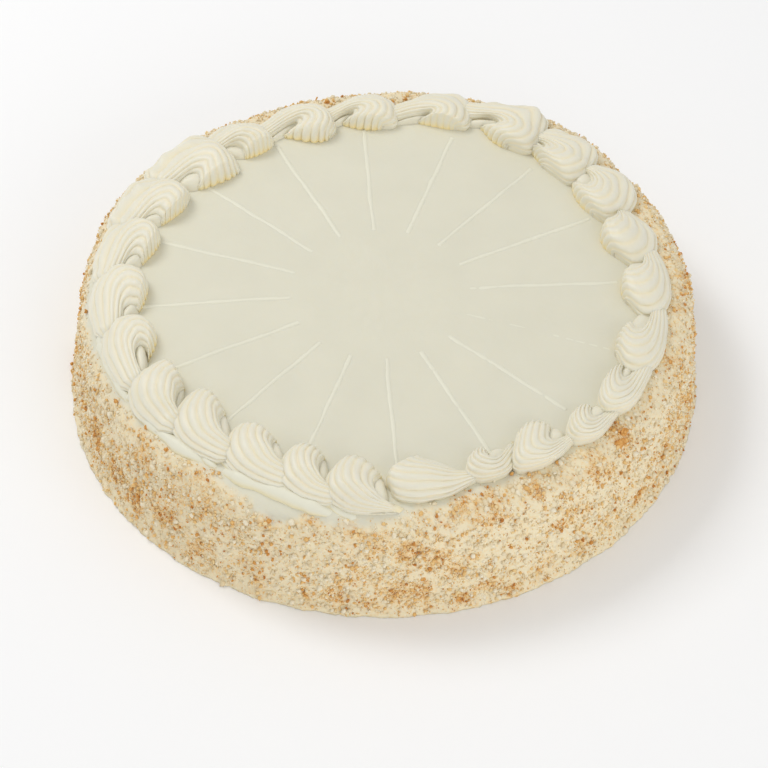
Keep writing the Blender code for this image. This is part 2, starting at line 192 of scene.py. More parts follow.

# %% [markdown]
# ## Icing, as a material
#
# Buttercream is not a flat white. Light goes a little way into it and comes out warm, so deep creases and
# thin edges glow yellow, and the flat top looks cooler and greyer than the piped shells. Subsurface gives
# part of that soft light. The rest is painted: a warm crease colour, mixed in by an attribute kept on the
# mesh that says where the creases are, paints the yellow glow in the creases and the shade at the feet of
# the forms. Broad noise in the colour and fine noise in the bump break up what would look like plastic. A
# thin open form such as a portion mark gets no subsurface, because light that is scattered into it finds
# nothing behind it.

# %% Icing material
def icing(name, cream, crease, roughness, grain, bump, softness=0.3):
    """Soft icing that turns from cream to its warm crease colour, painted glow and shade, where an attribute
    on the mesh says so.
    """
    material = bpy.data.materials.new(name)
    material.use_nodes = True
    nodes = material.node_tree.nodes
    links = material.node_tree.links
    shader = nodes["Principled BSDF"]
    shader.inputs["Roughness"].default_value = roughness
    shader.inputs["Subsurface Weight"].default_value = softness
    shader.inputs["Subsurface Radius"].default_value = (1.0, 0.88, 0.7)
    shader.inputs["Subsurface Scale"].default_value = 1.4 * MM
    shader.inputs["Specular IOR Level"].default_value = 0.35
    place = nodes.new("ShaderNodeTexCoord").outputs["Object"]

    clouds = nodes.new("ShaderNodeTexNoise")
    clouds.inputs["Scale"].default_value = 1.0 / (22.0 * MM)
    clouds.inputs["Detail"].default_value = 4.0
    links.new(place, clouds.inputs["Vector"])
    blotches = nodes.new("ShaderNodeValToRGB")
    blotches.color_ramp.elements[0].position = 0.3
    blotches.color_ramp.elements[0].color = tuple(value * 0.965 for value in cream[:3]) + (1.0,)
    blotches.color_ramp.elements[1].position = 0.7
    blotches.color_ramp.elements[1].color = cream
    links.new(clouds.outputs["Fac"], blotches.inputs["Fac"])

    # Painted glow and shade: where the mesh's attribute is high, the colour turns to the warm crease colour,
    # for the light in the creases and the shade at the feet.
    depth = nodes.new("ShaderNodeAttribute")
    depth.attribute_name = "depth"
    glow_shade_mix = nodes.new("ShaderNodeMix")
    glow_shade_mix.data_type = "RGBA"
    glow_shade_mix.inputs[7].default_value = crease
    links.new(depth.outputs["Fac"], glow_shade_mix.inputs[0])
    links.new(blotches.outputs["Color"], glow_shade_mix.inputs[6])
    links.new(glow_shade_mix.outputs[2], shader.inputs["Base Color"])

    pores = nodes.new("ShaderNodeTexNoise")
    pores.inputs["Scale"].default_value = 1.0 / grain
    pores.inputs["Detail"].default_value = 5.0
    pores.inputs["Roughness"].default_value = 0.6
    links.new(place, pores.inputs["Vector"])
    relief = nodes.new("ShaderNodeBump")
    relief.inputs["Strength"].default_value = bump
    relief.inputs["Distance"].default_value = 0.3 * MM
    links.new(pores.outputs["Fac"], relief.inputs["Height"])
    links.new(relief.outputs["Normal"], shader.inputs["Normal"])
    return material


SHELL_CREAM = (0.80, 0.77, 0.645, 1.0)
# The warm colour painted into the shells' creases and feet, as glow and shade.
SHELL_GLOW_SHADE = (0.95, 0.78, 0.40, 1.0)
shell_icing = icing("piped_icing", SHELL_CREAM, SHELL_GLOW_SHADE, 0.42, 1.6 * MM, 0.25)
print("material:", shell_icing.name)

# %% [markdown]
# ## The form of the cake under its icing
#
# The cake is a turned shape: a top that falls a millimetre towards its edge, a rounded shoulder, and a
# side that spreads a little towards the foot. The side isn't quite upright all round, because the icing
# leans out at the right and in at the left. These are the sizes of the plain solid, so that whatever is
# made here lies where the solid is.

# %% Sizes of the cake
TOP_HEIGHT = 50.0 * MM
TOP_FALL = 1.0 * MM
TOP_EDGE_RADIUS = 113.0 * MM
SHOULDER = 12.5 * MM
SHOULDER_TURN = 75.0
FOOT_RADIUS = 129.7 * MM
FOOT_FLARE = 1.4 * MM
FOOT_FLARE_HEIGHT = 5.0 * MM
WALL_SWELL = 0.7
LEAN = 2.0 * MM


def top_z(radius):
    """Height of the icing at a radius, over the top and round the shoulder."""
    top = TOP_HEIGHT - TOP_FALL * (min(radius, TOP_EDGE_RADIUS) / TOP_EDGE_RADIUS) ** 2
    over = min(max(radius - TOP_EDGE_RADIUS, 0.0), SHOULDER)
    return top - SHOULDER + math.sqrt(SHOULDER ** 2 - over ** 2)


def lean(angle, height):
    """How far the icing leans out at an angle and a height."""
    return LEAN * math.cos(angle) * min(max(height / TOP_HEIGHT, 0.0), 1.0)


def top_unevenness(x, y):
    """What the palette knife left on the flat top: long shallow waves and a rougher middle."""
    place = Vector((x, y, 0.0))
    waves = 0.32 * MM * uneven(place, 38.0 * MM, 3.0) + 0.10 * MM * uneven(place, 9.0 * MM, 5.0)
    middle = 1.0 - ease(16.0 * MM, 40.0 * MM, math.hypot(x, y))
    return waves + middle * 0.18 * MM * uneven(place, 3.5 * MM, 8.0)


print("top at the edge:", round(top_z(TOP_EDGE_RADIUS) / MM, 1), "mm")

# %% [markdown]
# ## Where the crumbs are
#
# The crumbs were pressed on by hand from below, so the top edge of the coat is ragged. At the right it
# climbs up to the shells. From the left round to the front it stops short and leaves a band of bare icing
# below the border. The knots below state that height round the cake, and noise frays it. The same function
# will roughen the side, colour it, and say where crumbs are strewn, so the three always agree.

# %% Map of the crumb coat
CoatEdge = namedtuple("CoatEdge", "angle height")
COAT_EDGES = (
    CoatEdge(-180, 41.0), CoatEdge(-170, 43.0), CoatEdge(-160, 45.0), CoatEdge(-145, 46.0),
    CoatEdge(-132, 47.5), CoatEdge(-125, 47.5), CoatEdge(-118, 44.5), CoatEdge(-110, 42.0),
    CoatEdge(-104, 45.5), CoatEdge(-95, 45.5), CoatEdge(-88, 47.0), CoatEdge(-80, 49.2),
    CoatEdge(-70, 50.5), CoatEdge(-40, 51.0), CoatEdge(45, 51.0), CoatEdge(150, 50.0),
    CoatEdge(166, 46.0), CoatEdge(180, 41.0),
)


def coat_edge(angle):
    """Height in metres that the crumbs reach at an angle in degrees."""
    angle = (angle + 180.0) % 360.0 - 180.0
    for low, high in zip(COAT_EDGES, COAT_EDGES[1:]):
        if angle <= high.angle:
            return mix(low.height, high.height, ease(low.angle, high.angle, angle)) * MM
    return COAT_EDGES[-1].height * MM


def coat_cover(place):
    """1 where the side is covered in crumbs, 0 where its icing is bare, for a point on the side."""
    angle = math.degrees(math.atan2(place.y, place.x))
    fray = 2.2 * MM * uneven(place, 9.0 * MM, 11.0) + 1.6 * MM * uneven(place, 3.0 * MM, 13.0)
    return ease(-1.2 * MM, 1.2 * MM, coat_edge(angle) + fray - place.z)


def coat_clumps(place):
    """0 to 1: how thick the crumbs are heaped at a point on the side."""
    broad = 0.5 + 0.5 * uneven(place, 11.0 * MM, 17.0)
    fine = 0.5 + 0.5 * uneven(place, 4.0 * MM, 19.0)
    return min(max(0.55 * broad + 0.6 * fine - 0.08, 0.0), 1.0)


print("coat edge at the front:", coat_edge(-90) / MM, "mm")

# %% [markdown]
# From the right round the back to the left the coat is heaped high on the shoulder, and leans against the
# shells. A second table states that heap in the same way. Whatever lies on the heap is moved with it, mostly
# outwards and a little up.

# %% Map of the heaped rim
Heap = namedtuple("Heap", "angle thickness")
HEAPS = (
    Heap(-180, 1.0), Heap(-168, 0.6), Heap(-155, 0.2), Heap(-140, 0.0), Heap(-20, 0.0), Heap(0, 0.6),
    Heap(22, 2.0), Heap(36, 2.4), Heap(46, 4.4), Heap(56, 5.2), Heap(64, 3.6), Heap(80, 3.2), Heap(95, 2.2),
    Heap(118, 2.2), Heap(128, 4.2), Heap(142, 5.0), Heap(156, 4.6), Heap(167, 2.6), Heap(180, 1.0),
)
HEAP_OUT = 0.8
HEAP_UP = 0.5


def heap(place):
    """Extra thickness in metres on the shoulder at a point."""
    angle = math.degrees(math.atan2(place.y, place.x))
    radius = math.hypot(place.x, place.y)
    on_rim = ease(114.5 * MM, 120.0 * MM, radius) * ease(14.0 * MM, 40.0 * MM, place.z)
    for low, high in zip(HEAPS, HEAPS[1:]):
        if angle <= high.angle:
            thick = mix(low.thickness, high.thickness, ease(low.angle, high.angle, angle)) * MM
            return on_rim * thick * (1.0 + 0.35 * uneven(place, 7.0 * MM, 61.0))
    return 0.0


def heap_push(place, angle):
    """The move that the heap gives to what lies on it."""
    return heap(place) * Vector((HEAP_OUT * math.cos(angle), HEAP_OUT * math.sin(angle), HEAP_UP))


print("heap at the left:", round(heap(Vector((-121, 5, 45)) * MM) / MM, 1), "mm")

# %% [markdown]
# The crumbs at the front are in patches: creamy, almost bare fields, and drifts of golden and browned bits
# from the crust. Each patch states its angle, its height, how far it reaches and how thick it is. Behind,
# the noise decides.

# %% Map of the browned patches
Patch = namedtuple("Patch", "angle height reach share")
WALL_RADIUS = 127.0
WIDEST_PATCH = 8.0
PATCHES = (
    Patch(-166, 28, 10, 0.5), Patch(-157, 18, 11, 0.8), Patch(-148, 16, 11, 1.0), Patch(-141, 14, 10, 0.9),
    Patch(-134, 18, 11, 0.9), Patch(-125, 12, 8, 0.8), Patch(-140, 38, 9, 0.6), Patch(-131, 33, 10, 0.5),
    Patch(-124, 36, 11, 0.6), Patch(-118, 30, 8, 0.5), Patch(-114, 17, 7, 0.4), Patch(-122, 8, 6, 0.6),
    Patch(-113, 8, 6, 0.6), Patch(-104, 8, 6, 0.6), Patch(-99, 10, 7, 0.7), Patch(-112, 40, 5, 0.8),
    Patch(-103, 46, 6, 0.8), Patch(-127, 46, 8, 0.5), Patch(-143, 46, 5, 0.6), Patch(-95, 44, 8, 0.7),
    Patch(-91, 38, 9, 0.6), Patch(-85, 34, 11, 0.9), Patch(-80, 30, 9, 0.8), Patch(-77, 22, 9, 0.6),
    Patch(-88, 13, 9, 0.9), Patch(-84, 12, 8, 0.9), Patch(-93, 8, 7, 0.7), Patch(-94, 20, 9, 0.5),
    Patch(-76, 5, 6, 1.0), Patch(-70, 9, 7, 0.8), Patch(-67, 4, 5, 1.0), Patch(-74, 51, 9, 0.8),
    Patch(-69, 47, 6, 0.9), Patch(-60, 47, 5, 0.9), Patch(-47, 45, 7, 0.8), Patch(-39, 46, 8, 1.0),
    Patch(-45, 40, 4, 0.9), Patch(-54, 33, 8, 0.5), Patch(-56, 28, 4, 0.9), Patch(-52, 10, 8, 0.5),
    Patch(-61, 9, 8, 0.5), Patch(-45, 15, 8, 0.4), Patch(-38, 11, 5, 0.9), Patch(-28, 20, 10, 0.6),
    Patch(-31, 10, 8, 0.5), Patch(-17, 47, 7, 0.7), Patch(-20, 30, 11, 0.6), Patch(-13, 14, 10, 0.8),
    Patch(-3, 30, 12, 0.6), Patch(6, 42, 10, 0.6), Patch(-54, 53, 6, 0.5),
)


def crust(place):
    """0 to 1: how much browned crust lies at a point on the side."""
    angle = math.degrees(math.atan2(place.y, place.x))
    behind = ease(8.0, 25.0, angle) if angle > 0 else 1.0 - ease(-178.0, -166.0, angle)
    wide = uneven(place, 14.0 * MM, 41.0) + 0.5 * uneven(place, 5.0 * MM, 44.0)
    most = behind * (0.8 - 0.6 * ease(38.0, 46.0, place.z / MM)) * ease(0.0, 0.7, wide)
    frayed = 1.0 + 0.8 * uneven(place, 5.0 * MM, 47.0) + 0.8 * uneven(place, 2.2 * MM, 49.0)
    for patch in PATCHES:
        if abs(patch.angle - angle) < WIDEST_PATCH:
            aside = math.radians(patch.angle - angle) * WALL_RADIUS
            away = math.hypot(aside, place.z / MM - patch.height) * frayed
            most = max(most, 0.85 * patch.share * (1.0 - ease(0.1 * patch.reach, 1.1 * patch.reach, away)))
    return most


print("patches of crust:", len(PATCHES))

# %% [markdown]
# ## The iced body
#
# A profile drawn once and spun round the axis is the natural way to make anything that was iced on a
# turntable. The rows are close together, so that the noise afterwards has vertices to move: long shallow
# waves on top for the knife, and lumps of a few millimetres under the crumb coat, so that no smooth wall
# shows between the crumbs.

# %% Spin the body
BODY_COLUMNS = 512
TOP_ROWS = 62
SHOULDER_ROWS = 14
WALL_ROWS = 44
CLUMP_HEIGHT = 2.3 * MM
GRIT_HEIGHT = 0.7 * MM
STREAK_HEIGHT = 0.5 * MM


def body_profile():
    """Half the section, from the middle of the top over the shoulder and down to the underside."""
    radii = [TOP_EDGE_RADIUS * row / TOP_ROWS for row in range(TOP_ROWS)]
    points = [(radius, top_z(radius)) for radius in radii]
    edge_z = top_z(TOP_EDGE_RADIUS)
    for row in range(SHOULDER_ROWS + 1):
        turn = math.radians(SHOULDER_TURN * row / SHOULDER_ROWS)
        points.append((TOP_EDGE_RADIUS + SHOULDER * math.sin(turn),
                       edge_z - SHOULDER * (1 - math.cos(turn))))
    start_radius, start_z = points[-1]
    for row in range(1, WALL_ROWS + 1):
        share = row / WALL_ROWS
        z = mix(start_z, 0.0, share)
        flare = FOOT_FLARE * (1.0 - ease(0.0, FOOT_FLARE_HEIGHT, z))
        points.append((mix(start_radius, FOOT_RADIUS, share ** WALL_SWELL) + flare, z))
    points.append((FOOT_RADIUS * 0.5, 0.0))
    points.append((0.0, 0.0))
    return points


def spin_profile(points, columns):
    bm = bmesh.new()
    verts = [bm.verts.new((radius, 0.0, z)) for radius, z in points]
    edges = [bm.edges.new(pair) for pair in zip(verts, verts[1:])]
    bmesh.ops.spin(bm, geom=verts + edges, cent=(0, 0, 0), axis=(0, 0, 1), angle=math.tau,
                   steps=columns, use_merge=True)
    bmesh.ops.remove_doubles(bm, verts=bm.verts, dist=0.001 * MM)
    bmesh.ops.recalc_face_normals(bm, faces=bm.faces)
    return bm


body = spin_profile(body_profile(), BODY_COLUMNS)
print("body:", len(body.faces), "faces")

# %% [markdown]
# Each vertex is now moved: up on top, outwards on the side. Where the side is bare, the noise is drawn out
# into the streaks that a palette knife leaves. How much coat and crust lies at a vertex is kept on the mesh
# in two attributes, because the material and the strewing need them too. The icing material's attribute for
# painted crease glow and shade stays at nought on the body.

# %% Roughen the body
coat_layer = body.verts.layers.float.new("coat")
crust_layer = body.verts.layers.float.new("crust")
# The attribute for the icing's painted glow and shade, left at nought on the body.
body.verts.layers.float.new("depth")
for vert in body.verts:
    radius = math.hypot(vert.co.x, vert.co.y)
    angle = math.atan2(vert.co.y, vert.co.x)
    if vert.co.z < 0.01 * MM and radius < FOOT_RADIUS:
        continue
    on_top = 1.0 - ease(TOP_EDGE_RADIUS - 2 * MM, TOP_EDGE_RADIUS + 2 * MM, radius)
    cover = coat_cover(vert.co) * (1.0 - on_top)
    out = lean(angle, vert.co.z) if radius > TOP_EDGE_RADIUS - MM else 0.0
    out += cover * (CLUMP_HEIGHT * coat_clumps(vert.co) + GRIT_HEIGHT * uneven(vert.co, 1.7 * MM, 23.0))
    streak = Vector((math.degrees(angle) / 9.0, vert.co.z / (2.2 * MM), radius / (2.2 * MM)))
    knife = uneven(vert.co, 14.0 * MM, 29.0) + noise.noise(streak)
    out += (1.0 - cover) * (1.0 - on_top) * STREAK_HEIGHT * knife
    heaped = heap(vert.co)
    out += HEAP_OUT * heaped
    rise = on_top * top_unevenness(vert.co.x, vert.co.y) + HEAP_UP * heaped
    vert[coat_layer] = cover
    vert[crust_layer] = crust(vert.co)
    vert.co += outward(angle) * out + Vector((0.0, 0.0, rise))
print("highest point:", round(max(vert.co.z for vert in body.verts) / MM, 2), "mm")

# %% [markdown]
# The top is the same cream as the shells, painted darker and greyer as shade for how the flat top looks
# beside them, and given a duller finish. Where the coat attribute says so the body turns to the colour of
# the fine crumb that is smeared into the icing, mottled from ivory to pale toast.

# %% Body material
# Painted shade: the flat top gets a darker, greyer copy of the shells' cream.
SHADED_TOP_CREAM = (0.745, 0.72, 0.585, 1.0)
# The body's painted crease glow and shade colour, which its attribute leaves unused.
TOP_GLOW_SHADE = (0.70, 0.62, 0.40, 1.0)
CRUMB_IVORY = (0.84, 0.74, 0.52, 1.0)
CRUMB_GOLD = (0.85, 0.66, 0.38, 1.0)
CRUMB_TOAST = (0.74, 0.44, 0.17, 1.0)


def maths(tree, operation, first, second):
    """A maths node in any node tree, whose two inputs are numbers or other nodes' outputs."""
    node = tree.nodes.new("ShaderNodeMath")
    node.operation = operation
    for socket, value in zip(node.inputs, (first, second)):
        if isinstance(value, (int, float)):
            socket.default_value = value
        else:
            tree.links.new(value, socket)
    return node.outputs[0]


def add_crumb_colour(material):
    """Mixes crumb over an icing material: ivory, speckled with gold and toast where crust has gathered."""
    tree = material.node_tree
    nodes = tree.nodes
    links = tree.links
    shader = nodes["Principled BSDF"]
    cream = shader.inputs["Base Color"].links[0].from_socket
    place = nodes.new("ShaderNodeTexCoord").outputs["Object"]

    def noise_node(grain, detail):
        texture = nodes.new("ShaderNodeTexNoise")
        texture.inputs["Scale"].default_value = 1.0 / grain
        texture.inputs["Detail"].default_value = detail
        texture.inputs["Roughness"].default_value = 0.65
        links.new(place, texture.inputs["Vector"])
        return texture.outputs["Fac"]

    def attribute(name):
        node = nodes.new("ShaderNodeAttribute")
        node.attribute_name = name
        return node.outputs["Fac"]

    gathered = maths(tree, "MULTIPLY", attribute("crust"), 0.28)
    speckle = maths(tree, "ADD", noise_node(1.3 * MM, 3.0), gathered)
    broad = maths(tree, "MULTIPLY", noise_node(6.0 * MM, 2.0), 0.25)
    speckle = maths(tree, "ADD", speckle, broad)
    ramp = nodes.new("ShaderNodeValToRGB")
    ramp.color_ramp.elements[0].position = 0.62
    ramp.color_ramp.elements[0].color = CRUMB_IVORY
    ramp.color_ramp.elements[1].position = 1.0
    ramp.color_ramp.elements[1].color = CRUMB_TOAST
    ramp.color_ramp.elements.new(0.80).color = CRUMB_GOLD
    links.new(speckle, ramp.inputs["Fac"])
    over = nodes.new("ShaderNodeMix")
    over.data_type = "RGBA"
    links.new(attribute("coat"), over.inputs[0])
    links.new(cream, over.inputs[6])
    links.new(ramp.outputs["Color"], over.inputs[7])
    links.new(over.outputs[2], shader.inputs["Base Color"])


body_icing = icing("spread_icing", SHADED_TOP_CREAM, TOP_GLOW_SHADE, 0.5, 2.2 * MM, 0.18)
add_crumb_colour(body_icing)
coat = body.copy()
body_piece = add_piece("iced_body", body, body_icing)
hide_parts("cake")
print("body:", len(body_piece.data.polygons), "faces")

# %% [markdown]
# ## Portion marks
#
# Sixteen lines were drawn from near the middle out under the border. The knife pushed up a thin, bright
# ridge beside each cut, and broke it here and there. A ridge is a grid laid along the line: its rows follow
# the icing, its middle is lifted, and noise makes it wander, swell and break. It is a form that lies on the
# top, so it doesn't need finer faces in the whole top.

# %% Lay the marks
MARKS = 16
MARK_PHASE = 94.1
MARK_CENTRE_X = -1.5 * MM
MARK_INNER_RADIUS = 36.6 * MM
MARK_OUTER_RADIUS = 99.0 * MM
MARK_WIDTH = 1.9 * MM
MARK_HEIGHT = 0.46 * MM
MARK_DEPTH = 0.12 * MM
FAINT_MARKS = {11: 0.3, 10: 0.6, 12: 0.45, 2: 0.6, 9: 0.7, 3: 0.7}
MARK_CREAM = (0.80, 0.78, 0.64, 1.0)
# The warm colour painted as shade along the feet of the folds; the marks carry none of it.
MARK_GLOW_SHADE = (0.86, 0.76, 0.46, 1.0)


def lay_mark(bm, number):
    """One raised line of icing, as a grid that is moved into place on the top."""
    made = bmesh.ops.create_grid(bm, x_segments=150, y_segments=8, size=0.5)["verts"]
    heading = math.radians(MARK_PHASE + 360.0 * number / MARKS)
    along = outward(heading)
    across = Vector((-along.y, along.x, 0.0))
    strength = FAINT_MARKS.get(number, 1.0)
    for vert in made:
        share = vert.co.x + 0.5
        side = vert.co.y * 2.0
        radius = mix(MARK_INNER_RADIUS, MARK_OUTER_RADIUS, share)
        line = along * radius
        wander = 0.45 * MM * uneven(line, 12.0 * MM, number + 31.0)
        swell = 1.0 + 0.35 * uneven(line, 5.0 * MM, number + 51.0)
        crumble = ease(-0.55, 0.1, uneven(line, 3.0 * MM, number + 71.0) + 0.35 * strength)
        ends = ease(0.0, 0.02, share)
        height = MARK_HEIGHT * strength * swell * mix(0.35, 1.0, crumble) * ends
        profile = max(0.0, 1.0 - side * side)
        place = line + across * (wander + side * MARK_WIDTH / 2 * swell)
        place.x += MARK_CENTRE_X
        icing_z = top_z(place.length) + top_unevenness(place.x, place.y)
        place.z = icing_z - MARK_DEPTH + height * profile ** 0.7
        vert.co = place


marks = bmesh.new()
for number in range(MARKS):
    lay_mark(marks, number)
bmesh.ops.recalc_face_normals(marks, faces=marks.faces)
mark_icing = icing("drawn_icing", MARK_CREAM, MARK_GLOW_SHADE, 0.45, 1.6 * MM, 0.2, 0.0)
marks_piece = add_piece("portion_marks", marks, mark_icing)
print("marks:", len(marks_piece.data.polygons), "faces")

# %% [markdown]
# ## The piped shells
#
# A shell is one squeeze of a piping bag with a star nozzle. The nozzle touches down at the inner side of
# the border, where each of its teeth leaves a little finger of icing. It swings outwards and round, and is
# drawn away along the ring, where the next shell covers its tail. A curve with a bevel would be the quick
# way to sweep the nozzle's star, but it folds over itself on the tight inside of a curl, and all of its
# ridges would run side by side. On real icing they spread like the ribs of a scallop.
#
# So every shell is drawn by three of its ridges: the outermost, the one along its middle, and the
# innermost. Each is five points from the finger to the tail. A point is how far along the ring it lies from
# where the shell starts, and its distance from the middle of the cake, in millimetres. A smooth line is put
# through the points, and the other ridges are found between the three.

